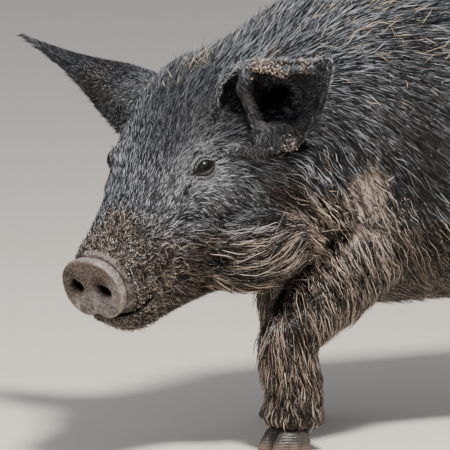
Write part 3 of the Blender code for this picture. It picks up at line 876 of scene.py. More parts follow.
# ---------------------------------------------------------------- lie of the coat
# Guides of the left side; the right side mirrors them. Each has a place, the way the hair
# lies, its length and how steeply it stands off, in degrees.
HEAD_GUIDES = {
    "nose top": ((0, 40, 88), (0, 1, 0.2), 6, 24),
    "nose bridge": ((0, 75, 103), (0, 1, 0.4), 7, 14),
    "forehead": ((0, 150, 160), (0, 0.8, 0.6), 10, 13),
    "poll": ((0, 270, 210), (0, 1, 0), 18, 20),
    "inner eye": ((56, 120, 110), (0.2, 0.6, 0.8), 6, 9),
    "brow": ((66, 165, 142), (0, 0.95, -0.1), 8, 12),
    "eye": ((75, 158, 105), (0, 0.8, -0.5), 4.5, 8),
    "temple": ((90, 205, 127), (0, 0.95, -0.3), 12, 12),
    "under ear": ((111, 240, 98), (0, 0.8, -0.5), 17, 12),
    "behind ear": ((139, 290, 70), (0, 0.15, -1), 19, 10),
    "under eye": ((78, 140, 85), (0, 0.5, -0.7), 8, 9),
    "cheek": ((100, 190, 80), (0, 0.35, -0.85), 14, 9),
    "cheek back": ((125, 250, 30), (0, 0.5, -0.85), 22, 11),
    "cheek low": ((90, 155, 50), (0, 0.95, -0.3), 18, 9),
    "cheek front": ((70, 110, 35), (0, 0.95, -0.4), 13, 9),
    "jaw": ((55, 90, 0), (0, 0.75, -0.6), 14, 11),
    "jaw back": ((97, 145, -4), (0, 1, 0.1), 34, 12),
    "jowl": ((115, 210, -11), (0, 0.95, 0.4), 42, 12),
    "jowl low": ((90, 200, -40), (0, 1, 0.35), 42, 16),
    "muzzle side": ((45, 45, 50), (0, 0.75, -0.6), 7, 14),
    "lip": ((45, 30, 10), (0, 0.8, -0.6), 5, 16),
    "chin": ((20, 50, -35), (0, 1, -0.2), 8, 22),
    "throat": ((0, 150, -45), (0, 1, 0), 22, 18),
    "whorl": ((130, 271, -18), (0, 0.6, -0.8), 24, 14),
}
BODY_GUIDES = {
    "mane": ((0, -160, 530), (0, 1, 0), 38, 24),
    "crest": ((0, -300, 480), (0, 0.9, 0.35), 24, 22),
    "neck": ((90, -200, 410), (0, 0.8, -0.6), 24, 12),
    "neck low": ((100, -190, 297), (0, 0.1, -1), 13, 6),
    "shoulder top": ((70, -135, 455), (0, 0.85, -0.5), 29, 15),
    "shoulder": ((105, -125, 351), (0, 0.55, -0.85), 23, 10),
    "shoulder low": ((98, -134, 269), (0, 0.6, -0.8), 22, 11),
    "elbow": ((100, -50, 230), (0, 1, -0.2), 32, 12),
    "ribs": ((110, 20, 330), (0, 0.8, -0.6), 23, 10),
    "flank": ((107, 200, 330), (0, 0.9, -0.45), 23, 10),
    "back": ((0, 50, 520), (0, 1, 0), 30, 19),
    "loin": ((0, 280, 500), (0, 1, 0), 26, 15),
    "rump": ((0, 440, 450), (0, 0.7, -0.7), 22, 13),
    "ham": ((100, 370, 320), (0, 0.5, -0.85), 20, 10),
    "buttock": ((60, 470, 330), (0, 0.1, -1), 20, 11),
    "belly": ((50, 80, 160), (0, 1, -0.1), 28, 15),
    "brisket": ((0, -270, 260), (0, 0.7, -0.7), 26, 14),
}
LEG_WAY = (0, 0.12, -1)
GUIDE_REACH = 0.018
FIELD_SMOOTHINGS = 10
DEEPEST_COAT = 0.016


def guided(rows, guides):
    """Way, length and lift of the hair at each place, from the nearest guides."""
    total = np.zeros(len(rows))
    sums = np.zeros((len(rows), 5))
    for place, way, length, lift in guides.values():
        for side in (1, -1) if place[0] else (1,):
            offset = rows - np.array(place) * MM * (side, 1, 1)
            weight = 1 / (np.einsum("ij,ij->i", offset, offset) + GUIDE_REACH**2) ** 2
            values = np.array([way[0] * side, *way[1:], length * MM, math.radians(lift)])
            sums += weight[:, None] * values
            total += weight
    sums /= total[:, None]
    return unit(sums[:, :3]), sums[:, 3], sums[:, 4]


class Skin:
    """The skin's points and faces, with the lie of the coat over them."""

    def __init__(self, mesh, nodes):
        self.mesh = mesh
        self.points = positions(mesh)
        corners = np.empty(len(mesh.loops), np.int32)
        mesh.loops.foreach_get("vertex_index", corners)
        self.faces = corners.reshape(-1, 3)
        edges = np.empty(len(mesh.edges) * 2, np.int32)
        mesh.edges.foreach_get("vertices", edges)
        self.edges = edges.reshape(-1, 2)
        self.part = nodes.of(self.points)
        self.lay_coat()
        self.settle()

    def on(self, *names):
        return np.isin(self.part, [FLESH.index(name) for name in names])

    def away(self, place):
        """How far each point is from a place."""
        return long(self.points - np.array(place))

    def spread(self, fields, times):
        """The fields, averaged with their neighbours over the mesh."""
        first, second = self.edges.T
        count = np.bincount(self.edges.ravel(), minlength=len(self.points))[:, None]
        for _ in range(times):
            total = np.zeros_like(fields)
            for column in range(fields.shape[1]):
                total[:, column] = (
                    np.bincount(first, fields[second, column], len(self.points))
                    + np.bincount(second, fields[first, column], len(self.points))
                )
            fields = 0.5 * fields + 0.5 * total / np.maximum(count, 1)
        return fields

    def lay_coat(self):
        points = self.points
        surface = normals(self.mesh)
        broad = self.spread(surface, 7)
        self.sharp = 1 - long(broad)
        self.inside = np.zeros(len(points))
        way, length, lift = guided(points, BODY_GUIDES)
        here = self.on("head", "lower_jaw")
        head_way, length[here], lift[here] = guided(in_head(points[here]), HEAD_GUIDES)
        way[here] = turned_from_head(head_way)
        for name in LEGS:
            here = self.on(name)
            down = eased(0.3, 0.2, points[here, 2])[:, None]
            way[here] = unit(way[here] * (1 - down) + np.array(LEG_WAY) * down)
            length[here] = 0.013 + 0.016 * eased(0.04, 0.12, points[here, 2])
            lift[here] = math.radians(9)
        for name, side in zip(EARS, (1, -1)):
            here = self.on(name)
            along = np.array([head_place(236 * side, 216, 240) - head_place(78 * side, 236, 150)])
            inner = ear_inside(surface[here], side)[:, None]
            outward = (unit(points[here] - np.array(ear_hollow(side))) * inner
                       + unit(along) * (1 - inner))
            rim = eased(0.1, 0.3, self.sharp[here])[:, None]
            way[here] = unit(outward * (1 - 0.6 * rim) + unit(broad[here]) * 0.6 * rim)
            length[here] = 0.008 + 0.003 * inner[:, 0] + 0.004 * rim[:, 0]
            self.inside[here] = inner[:, 0]
            lift[here] = math.radians(11) + 0.12 * inner[:, 0] + 0.25 * rim[:, 0]
        here = self.on("tail")
        drop = eased(0.46, 0.42, points[here, 2])[:, None]
        way[here] = unit(np.array([0, 0.9, -0.3]) * (1 - drop) + np.array([0, 0.1, -1]) * drop)
        length[here] = 0.014 + 0.03 * eased(0.27, 0.21, points[here, 2])
        lift[here] = math.radians(14)
        fields = self.spread(np.column_stack([way, length, lift]), FIELD_SMOOTHINGS)
        self.way = fields[:, :3]
        self.length = fields[:, 3]
        self.lift = fields[:, 4]
        self.broad = unit(broad)

    def settle(self):
        """Draws the skin in by the coat's depth and shapes the face on it."""
        depth = np.minimum(self.length * (0.1 + 0.55 * np.sin(self.lift)), DEEPEST_COAT)
        depth *= 1 - 0.8 * bare_share(in_head(self.points))
        depth *= eased(0.032, 0.07, self.points[:, 2])  # none just over the hooves
        self.points = self.points - self.broad * depth[:, None]
        set_positions(self.mesh, self.points)
        surface = normals(self.mesh)
        self.points, self.crease_shade = folded(self.points, surface)
        self.open_eyes(surface)
        set_positions(self.mesh, self.points)
        self.normals = normals(self.mesh)
        across = np.einsum("ij,ij->i", self.way, self.normals)[:, None]
        self.way = unit(self.way - self.normals * across)
        rows = in_head(self.points)
        self.bare = bare_share(rows)
        self.rubbed = np.zeros(len(self.points))
        for place, size, strength in RUBBED_PLACES:
            far = long((self.points - np.array(place)) * (1, 1.25, 0.85))
            self.rubbed = np.maximum(self.rubbed, strength * bell(far, size * MM))
        # The mouth's line: wet, and a painted shade between the lips.
        lips = mouth_share(rows) * self.on("head", "lower_jaw")
        self.wet = np.maximum(self.wet, lips)
        self.crease_shade = np.maximum(self.crease_shade, lips)
        self.length *= (1 - 0.65 * self.lids) * (1 - 0.5 * self.rubbed)
        self.length *= 0.62 + 0.38 * eased(0.045, 0.125, self.points[:, 2])
        self.lift *= 1 - 0.5 * self.lids
        self.tree = BVHTree.FromPolygons(self.points.tolist(), self.faces.tolist())
        corners = self.points[self.faces]
        cross = np.cross(corners[:, 1] - corners[:, 0], corners[:, 2] - corners[:, 0])
        self.area = long(cross) / 2
        self.face_way = self.way[self.faces].mean(axis=1)
        for name in ("bare", "wet", "crease_shade", "rubbed"):
            write_row(self.mesh, name, getattr(self, name))

    def open_eyes(self, surface):
        """Shapes the lids, and finds what is wet, lid, crease or lash about the eyes; the creases
        get a painted shade.
        """
        self.eyes = {}
        self.wet, self.lids, self.lash = np.zeros((3, len(self.points)))
        for eye in EYES:
            axes = eye_axes(eye, self.points, surface)
            self.eyes[eye] = axes
            self.points, edge = opened_eye(self.points, axes)
            close = long(self.points - axes[0]) < 0.03
            rise = (self.points - axes[0]) @ axes[2]
            wet = np.maximum(eased(0.0024, 0.0012, edge) * (1 - eased(0.0, 0.004, rise)),
                             eased(0.0014, 0.0006, edge))
            self.wet = np.maximum(self.wet, wet * close)
            self.lids = np.maximum(self.lids, eased(0.015, 0.002, edge) * close)
            over = close * (rise > 0.003)
            above = over * eased(-0.002, 0.002, rise)
            # Painted shade in the creases over and round the lids.
            creases = (bell(edge - 0.0036, 0.001) * 0.85
                       + bell(edge - 0.0092, 0.0013) * above * 0.5)
            self.crease_shade = np.maximum(self.crease_shade, 0.95 * np.clip(creases, 0, 1) * close)
            self.lash = np.maximum(self.lash, bell(edge - 0.0014, 0.0008) * over)

    def nearest(self, rows):
        """The place on the skin nearest to each row, its normal and its face."""
        found = [self.tree.find_nearest(row) for row in rows.tolist()]
        return (np.array([hit[0] for hit in found]), np.array([hit[1] for hit in found]),
                [hit[2] for hit in found])

    def unwrap(self):
        """Flattens the skin into a map and keeps a place on it for each face."""
        item = linked("work", self.mesh)
        bpy.context.view_layer.objects.active = item
        item.select_set(True)
        self.mesh.uv_layers.new(name="OFBake")
        bpy.ops.object.mode_set(mode="EDIT")
        bpy.ops.mesh.select_all(action="SELECT")
        bpy.ops.uv.smart_project(angle_limit=math.radians(66), island_margin=0.002)
        bpy.ops.object.mode_set(mode="OBJECT")
        rows = np.empty(len(self.mesh.loops) * 2, np.float32)
        self.mesh.uv_layers["OFBake"].uv.foreach_get("vector", rows)
        self.uv = rows.reshape(-1, 3, 2)
        bpy.data.objects.remove(item)


# ---------------------------------------------------------------- coat
CORNERS = 3  # round a tuft
PATCH = 0.003  # of the map, for each tuft
NEAR_LOCKS = 10
LOCK_SHAPE = 0.22  # across a lock, over its length
TAPERS = {2: (1.0, 0), 3: (0.9, 0.8, 0), 4: (0.75, 1.0, 0.7, 0), 5: (0.7, 1.0, 0.9, 0.6, 0)}


class Tufts:
    """Tufts over the skin, each a row of stations from its root to its tip."""

    def __init__(self, skin, count, density, stations, width, seed, longer=1, steeper=1,
                 stray=0.15):
        dice = np.random.default_rng(seed)
        heap = np.cumsum(skin.area * density[skin.faces].mean(axis=1))
        picks = (np.arange(count) + dice.random(count)) / count * heap[-1]
        face = np.minimum(np.searchsorted(heap, picks), len(heap) - 1)
        u, v = dice.random((2, count))
        flip = u + v > 1
        u[flip], v[flip] = 1 - u[flip], 1 - v[flip]
        share = np.column_stack([1 - u - v, u, v])

        def mixed(values):
            corners = values[skin.faces[face]]
            if corners.ndim == 3:
                return np.einsum("ij,ijk->ik", share, corners)
            return np.einsum("ij,ij->i", share, corners)

        self.dice = dice
        self.count = count
        self.stations = stations
        self.uv = np.einsum("ij,ijk->ik", share, skin.uv[face])
        self.length = mixed(skin.length) * dice.uniform(0.65, 1.2, count) * longer
        self.lift = mixed(skin.lift) * dice.uniform(0.4, 1.6, count) * steeper
        self.width = width * dice.uniform(0.7, 1.25, count) * (1 - 0.4 * mixed(skin.lids))
        self.spin = dice.normal(0, stray, count)
        self.tint = dice.random(count)
        # Painted light on the hair inside the ears.
        self.inner_ear_light = 0.08 * mixed(skin.inside)
        self.rubbed = mixed(skin.rubbed)
        self.straw = np.zeros(count)
        self.march(skin, mixed(skin.points), unit(mixed(skin.normals)), mixed(skin.way),
                   mixed(skin.crease_shade))

    def march(self, skin, place, normal, way, crease_shade):
        """Steps along the skin's lie, so that a tuft bends with the body under it."""
        step = self.length / (self.stations - 1)
        self.path = np.empty((self.stations, self.count, 3))
        self.normal = np.empty_like(self.path)
        self.side = np.empty_like(self.path)
        self.crease_shade = np.empty((self.stations, self.count))
        turn = np.cos(self.spin)[:, None], np.sin(self.spin)[:, None]
        for station in range(self.stations):
            across = np.cross(unit(way), normal)
            heading = unit(way) * turn[0] + across * turn[1]
            self.path[station] = place
            self.normal[station] = normal
            self.crease_shade[station] = crease_shade
            self.side[station] = unit(np.cross(heading, normal))
            if station + 1 < self.stations:
                target = place + unit(heading) * step[:, None]
                place, normal, faces = skin.nearest(target)
                way = skin.face_way[faces]
                # The painted shade of the crease under each station, so that hair across a crease
                # is painted darker there.
                crease_shade = skin.crease_shade[skin.faces[faces]].mean(axis=1)
        share = np.linspace(0, 1, self.stations)[:, None]
        rise = self.length * np.sin(self.lift) * share**0.8 - 0.0004 * (1 - share)
        self.path += self.normal * rise[..., None]

    def gather(self, each, strength, wave=0.0, turns=1.0, alike=0.5, rope=0.0):
        """Draws neighbouring tufts together towards their tips, into long wavy locks."""
        leaders = self.dice.permutation(self.count)[: max(self.count // each, 1)]
        tree = KDTree(len(leaders))
        for index, leader in enumerate(leaders):
            tree.insert(self.path[0, leader], index)
        tree.balance()
        near = np.array([[found[1] for found in tree.find_n(row, NEAR_LOCKS)]
                         for row in self.path[0].tolist()])
        offset = self.path[0, leaders[near]] - self.path[0][:, None]
        across = np.abs(np.einsum("nkj,nj->nk", offset, self.side[0]))
        away = np.hypot(across, LOCK_SHAPE * long(offset))
        best = np.argmin(away, axis=1)[:, None]
        chosen = np.take_along_axis(near, best, 1)[:, 0]
        aside = np.take_along_axis(across, best, 1)[:, 0]
        inner = 1 - eased(0, 2.2 * np.median(aside), aside)
        lead = leaders[chosen]
        share = np.linspace(0, 1, self.stations)[:, None, None]
        pull = share**1.2 * (strength * self.dice.uniform(0.5, 1.15, self.count))[None, :, None]
        self.path += (self.path[:, lead] - self.path) * pull
        phase = self.dice.uniform(0, 2 * np.pi, len(leaders))[chosen][None, :, None]
        sway = np.sin(share * 2 * np.pi * turns + phase) - np.sin(phase)
        self.path += self.side * sway * share**0.5 * wave
        self.path += self.normal * (inner[None, :, None] * share**0.5 * rope)
        # Painted shade: tufts at a lock's edges darker, those in its middle lighter, over a
        # random tone for each lock.
        shade = 0.3 * self.dice.random(len(leaders))[chosen] + 0.7 * inner
        self.tint = (1 - alike) * self.tint + alike * shade
        return self

    def rows(self, keep):
        """Corner points of the kept tufts, ring after ring and then the tip."""
        taper = np.array(TAPERS[self.stations])[:, None, None]
        path, side, normal = self.path[:, keep], self.side[:, keep], self.normal[:, keep]
        half = 0.5 * self.width[keep][None, :, None] * taper
        rings = np.stack([path - side * half, path + side * half, path + normal * half * 1.1], 1)
        many = len(keep)
        body = rings[:-1].reshape(-1, many, 3)
        return np.concatenate([body, path[-1:]]).transpose(1, 0, 2).reshape(-1, 3)


def pattern(stations):
    """Faces of one tuft, and where each corner of each lies in the tuft's patch of the map."""
    faces = []
    places = []
    rise = 1 / stations
    for ring in range(stations - 2):
        for corner in range(CORNERS):
            a = ring * CORNERS + corner
            b = ring * CORNERS + (corner + 1) % CORNERS
            left, right = corner / CORNERS, (corner + 1) / CORNERS
            low, high = (ring + 1) * rise, (ring + 2) * rise
            faces += [(a, b, b + CORNERS), (a, b + CORNERS, a + CORNERS)]
            places += [((left, low), (right, low), (right, high)),
                       ((left, low), (right, high), (left, high))]
    last = (stations - 2) * CORNERS
    low = (stations - 1) * rise
    for corner in range(CORNERS):
        left, right = corner / CORNERS, (corner + 1) / CORNERS
        faces.append((last + corner, last + (corner + 1) % CORNERS, last + CORNERS))
        places.append(((left, low), (right, low), ((left + right) / 2, 1)))
    faces.append((0, 2, 1))
    places.append(((0, 0), (1, 0), (0.5, rise)))
    return np.array(faces), np.array(places)


def mesh_of(name, points, faces, uv):
    """A mesh of triangles, made at one go."""
    mesh = bpy.data.meshes.new(name)
    mesh.vertices.add(len(points))
    mesh.vertices.foreach_set("co", points.astype(np.float32).ravel())
    mesh.loops.add(faces.size)
    mesh.loops.foreach_set("vertex_index", faces.astype(np.int32).ravel())
    mesh.polygons.add(len(faces))
    mesh.polygons.foreach_set("loop_start", np.arange(0, faces.size, 3, dtype=np.int32))
    mesh.polygons.foreach_set("use_smooth", np.ones(len(faces), bool))
    mesh.update()
    mesh.uv_layers.new(name="OFBake").uv.foreach_set("vector", uv.astype(np.float32).ravel())
    return mesh


def planted(name, groups, material):
    """One piece of the coat, from some of the tufts of each group."""
    points, faces, uv, rows = [], [], [], []
    start = 0  # of the group's points
    for tufts, keep in groups:
        per = (tufts.stations - 1) * CORNERS + 1
        many = len(keep)
        plan, places = pattern(tufts.stations)
        points.append(tufts.rows(keep))
        faces.append((start + np.arange(many)[:, None, None] * per + plan[None]).reshape(-1, 3))
        patch = tufts.uv[keep][:, None, None, :] + (places[None] - 0.5) * PATCH
        uv.append(patch.reshape(-1, 2))
        share = np.append(np.repeat(np.arange(tufts.stations - 1), CORNERS), tufts.stations - 1)
        # Painted glint along the ridge of each tuft, darker at its two lower corners.
        ridge_glint = np.append(np.tile((0, 0, 1), tufts.stations - 1), 0.7)
        crease_shade = np.concatenate([np.repeat(tufts.crease_shade[:-1, keep], CORNERS, axis=0),
                               tufts.crease_shade[-1:, keep]])
        rows.append({
            "along": np.tile(share / (tufts.stations - 1), many),
            "ridge_glint": np.tile(ridge_glint, many),
            "shade": np.repeat(tufts.tint[keep] + tufts.inner_ear_light[keep], per),
            "straw": np.repeat(tufts.straw[keep], per),
            "crease_shade": crease_shade.T.ravel(),
            "rubbed": np.repeat(tufts.rubbed[keep], per),
        })
        start += many * per
    mesh = mesh_of(name, np.concatenate(points), np.concatenate(faces), np.concatenate(uv))
    for row in rows[0]:
        write_row(mesh, row, np.concatenate([group[row] for group in rows]))
    new_piece(name, mesh, material, "coat")


COAT_PIECES = 8
MUZZLE = head_place(0, 5, 50)
# Where the hair is long and shaggy, and how wide.
LOCKS = (
    (head_place(95, 160, -4), 48), (head_place(-95, 160, -4), 48),
    (head_place(115, 225, -5), 60), (head_place(-115, 225, -5), 60),
    (head_place(120, 270, 60), 35), (body_place(60, -270, 200), 75),
    (body_place(80, -200, 240), 70), (body_place(-130, -150, 200), 70),
    (body_place(30, -150, 165), 60), (body_place(55, -280, 110), 60),
    (body_place(75, -285, 155), 60), (body_place(85, -150, 230), 60),
    (body_place(95, -60, 220), 75), (body_place(60, 50, 170), 80),
)


def make_coat(skin, material):
    face = skin.on("head", "lower_jaw") * 1.0
    ears = skin.on(*EARS) * 1.0
    covered = (1 - 0.92 * skin.bare) * (skin.wet < 0.3) * eased(0.97, 0.55, skin.crease_shade)
    covered *= np.minimum(1, 4 * (1 - skin.lids))
    shaggy = np.zeros(len(skin.points))
    for place, radius in LOCKS:
        share = skin.away(place) / (radius * MM)
        shaggy = np.maximum(shaggy, eased(1.3, 0.6, share))
    high = eased(0.47, 0.53, skin.points[:, 2]) * skin.on("neck", "trunk")
    front = eased(0.1, -0.1, skin.points[:, 1])
    body = (1 - face) * (1 - ears)
    muzzle = face * eased(0.115, 0.085, skin.away(MUZZLE))
    tail_end = skin.on("tail") * eased(0.3, 0.24, skin.points[:, 2])
    long_haired = covered * (0.25 + shaggy) * (shaggy > 0.02) * (1 - 0.85 * skin.rubbed)
    short_haired = (covered * body * (0.4 + 1.1 * front + 0.35 * high)
                    * (1 - 0.5 * shaggy) * (1 - 0.85 * skin.rubbed))
    coats = {
        "face and ears": Tufts(
            skin, 92000, covered * (face * (1 - 0.7 * shaggy) * (1 - 0.6 * muzzle) + 1.3 * ears),
            2, 0.00092, 1, stray=0.2, longer=1.1, steeper=0.95
        ).gather(4, 0.3, 0.0003, alike=0.25),
        "muzzle": Tufts(
            skin, 7500, covered * muzzle, 4, 0.0009, 6, stray=0.8, steeper=1.3, longer=1.3
        ).gather(5, 0.6, 0.0012, 1.5, alike=0.5),
        "locks": Tufts(
            skin, 23500, long_haired, 5, 0.0013, 2, longer=1.7
        ).gather(9, 0.8, 0.0022, 1.2, alike=0.65, rope=0.0016),
        "body": Tufts(
            skin, 96000, short_haired, 2, 0.00115, 3, stray=0.14, longer=0.95
        ).gather(4, 0.45, 0.0006, alike=0.3, rope=0.0003),
        "strays": Tufts(
            skin, 2500, body * (0.3 + high), 4, 0.001, 4, longer=1.25, steeper=1.2, stray=0.5
        ).gather(3, 0.3, 0.001),
        "whiskers": Tufts(
            skin, 700, face * covered, 4, 0.0005, 5, longer=1.7, steeper=1.8, stray=0.6),
        "tail tip": Tufts(
            skin, 600, tail_end, 4, 0.0012, 7, longer=1.1).gather(8, 0.6, 0.003, 0.8),
        "lashes": Tufts(skin, 70, skin.lash, 4, 0.0006, 8, longer=3.0, steeper=7),
    }
    pale = coats["strays"]
    pale.straw = (pale.dice.random(pale.count) < 0.16) * (pale.path[0, :, 2] > 0.45) * 1.0
    for index in range(COAT_PIECES):
        parts = [(tufts, np.arange(index, tufts.count, COAT_PIECES)) for tufts in coats.values()]
        planted("coat_layer_%d" % (index + 1), parts, material)


# Dried mud: where it clings on the left, in the head's frame or the body's, how wide, how
# many crumbs and how big.
FACE_CRUMBS = {
    "nose": ((10, 45, 84), 30, 160, 0.5),
    "muzzle": ((45, 45, 30), 34, 90, 0.5),
    "chin": ((35, 45, -12), 24, 80, 0.7),
    "ear roll 1": ((122, 230, 221), 14, 170, 1),
    "ear roll 2": ((145, 232, 216), 13, 110, 0.9),
    "ear roll 3": ((186, 233, 227), 18, 90, 0.8),
    "ear cleft": ((150, 220, 128), 14, 60, 0.9),
    "jowl": ((105, 190, -5), 50, 60, 0.5),
}
BODY_CRUMBS = {
    "shoulder": ((100, -200, 290), 50, 50, 0.5),
    "shoulder edge": ((103, -143, 280), 22, 60, 0.6),
    "leg": ((75, -280, 110), 60, 30, 0.4),
    "belly": ((70, -50, 200), 80, 40, 0.6),
}


# Where bits of straw lie, how wide and how many.
STRAW_PLACES = (
    (body_place(30, -170, 495), 45, 70), (body_place(50, -100, 480), 50, 30),
    (head_place(-5, 262, 208), 16, 44), (head_place(-20, 205, 185), 22, 5),
    (body_place(100, -200, 300), 30, 12),
)


def make_crumbs(skin, material):
    """Small lumps of dried mud, caught in the coat."""
    build = bmesh.new()
    bmesh.ops.create_icosphere(build, subdivisions=1, radius=1)
    build.verts.ensure_lookup_table()
    ball = np.array([vertex.co for vertex in build.verts])
    plan = np.array([[vertex.index for vertex in face.verts] for face in build.faces])
    build.free()
    across, up = np.divmod(np.arange(len(plan)), 5)
    corner = np.stack([across / 4, up / 5], 1)[:, None, :]
    places = corner + np.array([[0, 0], [0.24, 0], [0.12, 0.18]])
    dice = np.random.default_rng(11)
    points, uv = [], []
    for table, place_of in ((FACE_CRUMBS, head_place), (BODY_CRUMBS, body_place)):
        for place, wide, count, size in table.values():
            spots = np.array(place_of(*place)) + dice.normal(0, wide * MM * 0.5, (count, 3))
            at, out, face = skin.nearest(spots)
            length = skin.length[skin.faces[face, 0]]
            at += out * (length * dice.uniform(0.05, 0.3, count))[:, None]
            scale = size * MM * np.minimum(dice.lognormal(0, 0.45, (count, 1, 1)), 1.5)
            scale = scale * dice.uniform(0.5, 1.4, (count, 1, 3))
            turn = np.linalg.qr(dice.normal(0, 1, (count, 3, 3)))[0]
            shape = ball[None] * scale * dice.uniform(0.8, 1.2, (count, len(ball), 1))
            points.append((np.einsum("nij,nkj->nki", turn, shape) + at[:, None]).reshape(-1, 3))
            root = skin.uv[face].mean(axis=1)
            uv.append((root[:, None, None] + (places[None] - 0.5) * PATCH).reshape(-1, 2))
    points = np.concatenate(points)
    many = len(points) // len(ball)
    faces = (np.arange(many)[:, None, None] * len(ball) + plan[None]).reshape(-1, 3)
    mesh = mesh_of("mud_crumbs", points, faces, np.concatenate(uv))
    turned_outwards(mesh)
    new_piece("mud_crumbs", mesh, material, "coat")


def make_straw(skin, material):
    """Broken bits of dry stalk that lie on the poll, the mane and the shoulder."""
    groups = []
    for seed, (place, radius, count) in enumerate(STRAW_PLACES):
        bits = Tufts(skin, count, bell(skin.away(place), radius * MM), 3, 0.001, 20 + seed,
                     longer=0.9, steeper=1.7, stray=0.9)
        groups.append((bits, np.arange(count)))
    planted("straw_bits", groups, material)


# ---------------------------------------------------------------- snout, eyes and hooves
DISC = dict(half_width=0.0435, middle=0.037, half_height=0.037, thick=0.013)
NOSTRIL_DEPTH = 0.0112
# Each nostril: its place on the disc, its half sizes and how it leans, in degrees.
NOSTRILS = ((0.019, 0.0375, 0.0116, 0.0072, -33), (-0.0215, 0.04, 0.01, 0.008, -58))
# From the middle of the face, round the rim, to the middle of the back: share of the
# outline, and how far back.
DISC_PROFILE = ((0.00, 0.00, 0.0012), (0.3, 0.55, 0.0008), (0.44, 0.86, 0.0004),
                (0.5, 0.93, -0.0004), (0.56, 0.975, 0.0004), (0.62, 1.00, 0.003),
                (0.68, 0.998, 0.0062), (0.74, 0.985, 0.0092), (0.8, 0.97, 0.0116),
                (0.86, 0.93, 0.0132), (1.00, 0.00, 0.0132))


PUPIL = (0.42, 0.27)  # half sizes on a ball of radius 1; it lies along the slit


def round_mesh(name, around, over):
    build = bmesh.new()
    bmesh.ops.create_uvsphere(build, u_segments=around, v_segments=over, radius=1)
    return mesh_from(build, name)


def disc_outline(turn):
    """Half width of the snout's disc in each way round, notched at the bottom."""
    flat = np.abs(np.cos(turn) / DISC["half_width"]) ** 2.3
    tall = np.abs(np.sin(turn) / DISC["half_height"]) ** 2.3
    radius = (flat + tall) ** (-1 / 2.3)
    bottom = np.abs((turn + np.pi / 2 + np.pi) % (2 * np.pi) - np.pi)
    return radius - 0.006 * bell(bottom, 0.3)


def nostril_share(x, z, nostril):
    """0 in the middle of a nostril and 1 at its edge."""
    across, rise, wide, high, lean = nostril
    turn = math.radians(lean)
    along = (x - across) * math.cos(turn) + (z - rise) * math.sin(turn)
    up = (z - rise) * math.cos(turn) - (x - across) * math.sin(turn)
    return np.hypot(along / wide, (up - 0.0012 * np.sin(along * 260)) / high)


def make_snout(material):
    mesh = round_mesh("snout_disc", 192, 150)
    rows = positions(mesh)
    share = np.arccos(np.clip(rows[:, 2], -1, 1)) / np.pi
    turn = np.arctan2(rows[:, 1], rows[:, 0])
    table = np.array(DISC_PROFILE)
    out = np.interp(share, table[:, 0], table[:, 1])
    back = np.interp(share, table[:, 0], table[:, 2])
    radius = disc_outline(turn) * out
    x = radius * np.cos(turn)
    z = DISC["middle"] + radius * np.sin(turn)
    face = share < 0.56
    hole = np.zeros(len(rows))
    lip = np.zeros(len(rows))
    for nostril in NOSTRILS:
        far = nostril_share(x, z, nostril)
        hole = np.maximum(hole, eased(1.04, 0.55, far) * face)
        lip = np.maximum(lip, bell(far - 1.35, 0.32) * face)
    back = back + NOSTRIL_DEPTH * hole - 0.0013 * lip
    back += 0.001 * bell(x, 0.003) * face * eased(0.045, 0.005, z)
    shift = np.random.default_rng(8).random() * 6
    back += face * 0.0003 * np.sin(x * 700 + shift) * np.sin(z * 640)
    set_positions(mesh, from_head(np.column_stack([x, back, z])))
    turned_outwards(mesh, 0.3)
    # How deep into a nostril: painted dark as shade.
    write_row(mesh, "depth", hole)
    # Where the disc's rim is, for a painted highlight along it.
    write_row(mesh, "rim", bell(share - 0.6, 0.08))
    upper = eased(0.02, 0.052, z - 0.4 * x) * (share < 0.54)
    about = np.zeros(len(rows))
    for across, rise, *_ in NOSTRILS:
        near = np.hypot(x - across + 0.004, z - rise - 0.005)
        about = np.maximum(about, bell(near, 0.012) * face)
    write_row(mesh, "soil", np.maximum(upper, about))
    write_row(mesh, "about", about)
    new_piece("snout_disc", mesh, material, "snout_skin", "snout")


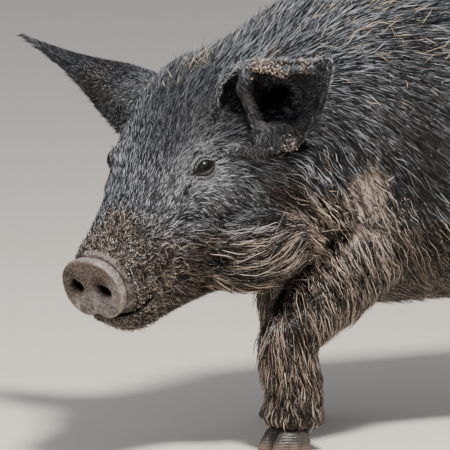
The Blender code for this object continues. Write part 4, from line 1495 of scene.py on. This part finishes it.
def make_eye(eye, axes, material, skin_material):
    """The wet ball, with its cornea, and the rim of the lids over it."""
    centre, slit, up, out = axes
    mesh = round_mesh(eye + "_ball", 64, 48)
    rows = positions(mesh)
    off = np.arccos(np.clip(rows[:, 2], -1, 1))
    radius = BALL_RADIUS + 0.0009 * eased(0.75, 0.45, off)
    basis = np.column_stack([slit, up, out])
    set_positions(mesh, centre + (rows * radius[:, None]) @ basis.T)
    turned_outwards(mesh)
    write_row(mesh, "off", off)
    pupil = np.hypot(rows[:, 0] / PUPIL[0], rows[:, 1] / PUPIL[1])
    write_row(mesh, "pupil", pupil + 9 * (rows[:, 2] < 0))
    new_piece(eye + "_ball", mesh, material, "eye", eye)
    half = LIDS["half_length"]
    steps = 48
    turn = np.linspace(0, 2 * np.pi, steps, endpoint=False)
    across = half * np.cos(turn)
    sign = np.where(np.sin(turn) > 0, 1.0, -1.0)
    height = np.where(sign > 0, LIDS["upper"], LIDS["lower"])
    arc = (half**2 + height**2) / (2 * height)
    rise = sign * (np.sqrt(np.maximum(arc**2 - across**2, 0)) - (arc - height))
    way = unit(np.tan(across / BALL_RADIUS)[:, None] * slit
               + np.tan(rise / BALL_RADIUS)[:, None] * up + out)
    edge = centre + way * (BALL_RADIUS + 0.001)
    curve = bpy.data.curves.new(eye + "_rim", "CURVE")
    curve.dimensions = "3D"
    curve.bevel_depth = 0.0008
    curve.bevel_resolution = 3
    spline = curve.splines.new("POLY")
    spline.points.add(steps - 1)
    spline.points.foreach_set("co", np.column_stack([edge, np.ones(steps)]).ravel())
    spline.use_cyclic_u = True
    rim = applied(linked(eye + "_rim", curve))
    rim.shade_smooth()
    for name in ("bare", "crease_shade", "rubbed"):
        write_row(rim, name, np.zeros(len(rim.vertices)))
    rise = (positions(rim) - centre) @ up
    write_row(rim, "wet", 0.85 - 0.65 * eased(0.001, 0.004, rise))
    new_piece(eye + "_rim", rim, skin_material, "coat")


def make_hooves(material):
    """Each claw and dewclaw in rounded horn, with rings of growth."""
    for node in sorted(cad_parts):
        if "claw" not in node:
            continue
        mesh = modified(mesh_from(merged_copy(node, 0), "horn_" + node),
                        ("SUBSURF", {"levels": 2, "render_levels": 2}))
        rows = positions(mesh)
        surface = normals(mesh)
        rings = 0.0003 * np.sin(rows[:, 2] * 1500) * (rows[:, 2] > 0.004)
        rows += surface * rings[:, None]
        low = rows[:, 2].min()
        if low < 0.004:
            rows[:, 2] -= low
        set_positions(mesh, rows)
        mesh.shade_smooth()
        new_piece("horn_" + node, mesh, material, "hoof", node)


# ---------------------------------------------------------------- the pig

make_camera()
make_studio()
nodes = Nodes()
flesh = refined(thinned(fused_flesh(), nodes))
skin = Skin(flesh, nodes)
skin.unwrap()
flesh.shade_smooth()
hide = skin_finish()
new_piece("skin", flesh, hide, "coat", *FLESH)
make_coat(skin, coat_finish())
make_crumbs(skin, grainy_finish("dried_mud", 0.9, 0.2, (300, 2, 0.35, 0.65), CRUMB_COLOURS,
                                1500, 0.0004))
make_straw(skin, grainy_finish("straw", 0.6, 0.4, (120, 2), STRAW_COLOURS, 900, 0.0003))
make_snout(snout_finish())
ball = eye_finish()
for eye in EYES:
    make_eye(eye, skin.eyes[eye], ball, hide)
make_hooves(horn_finish())
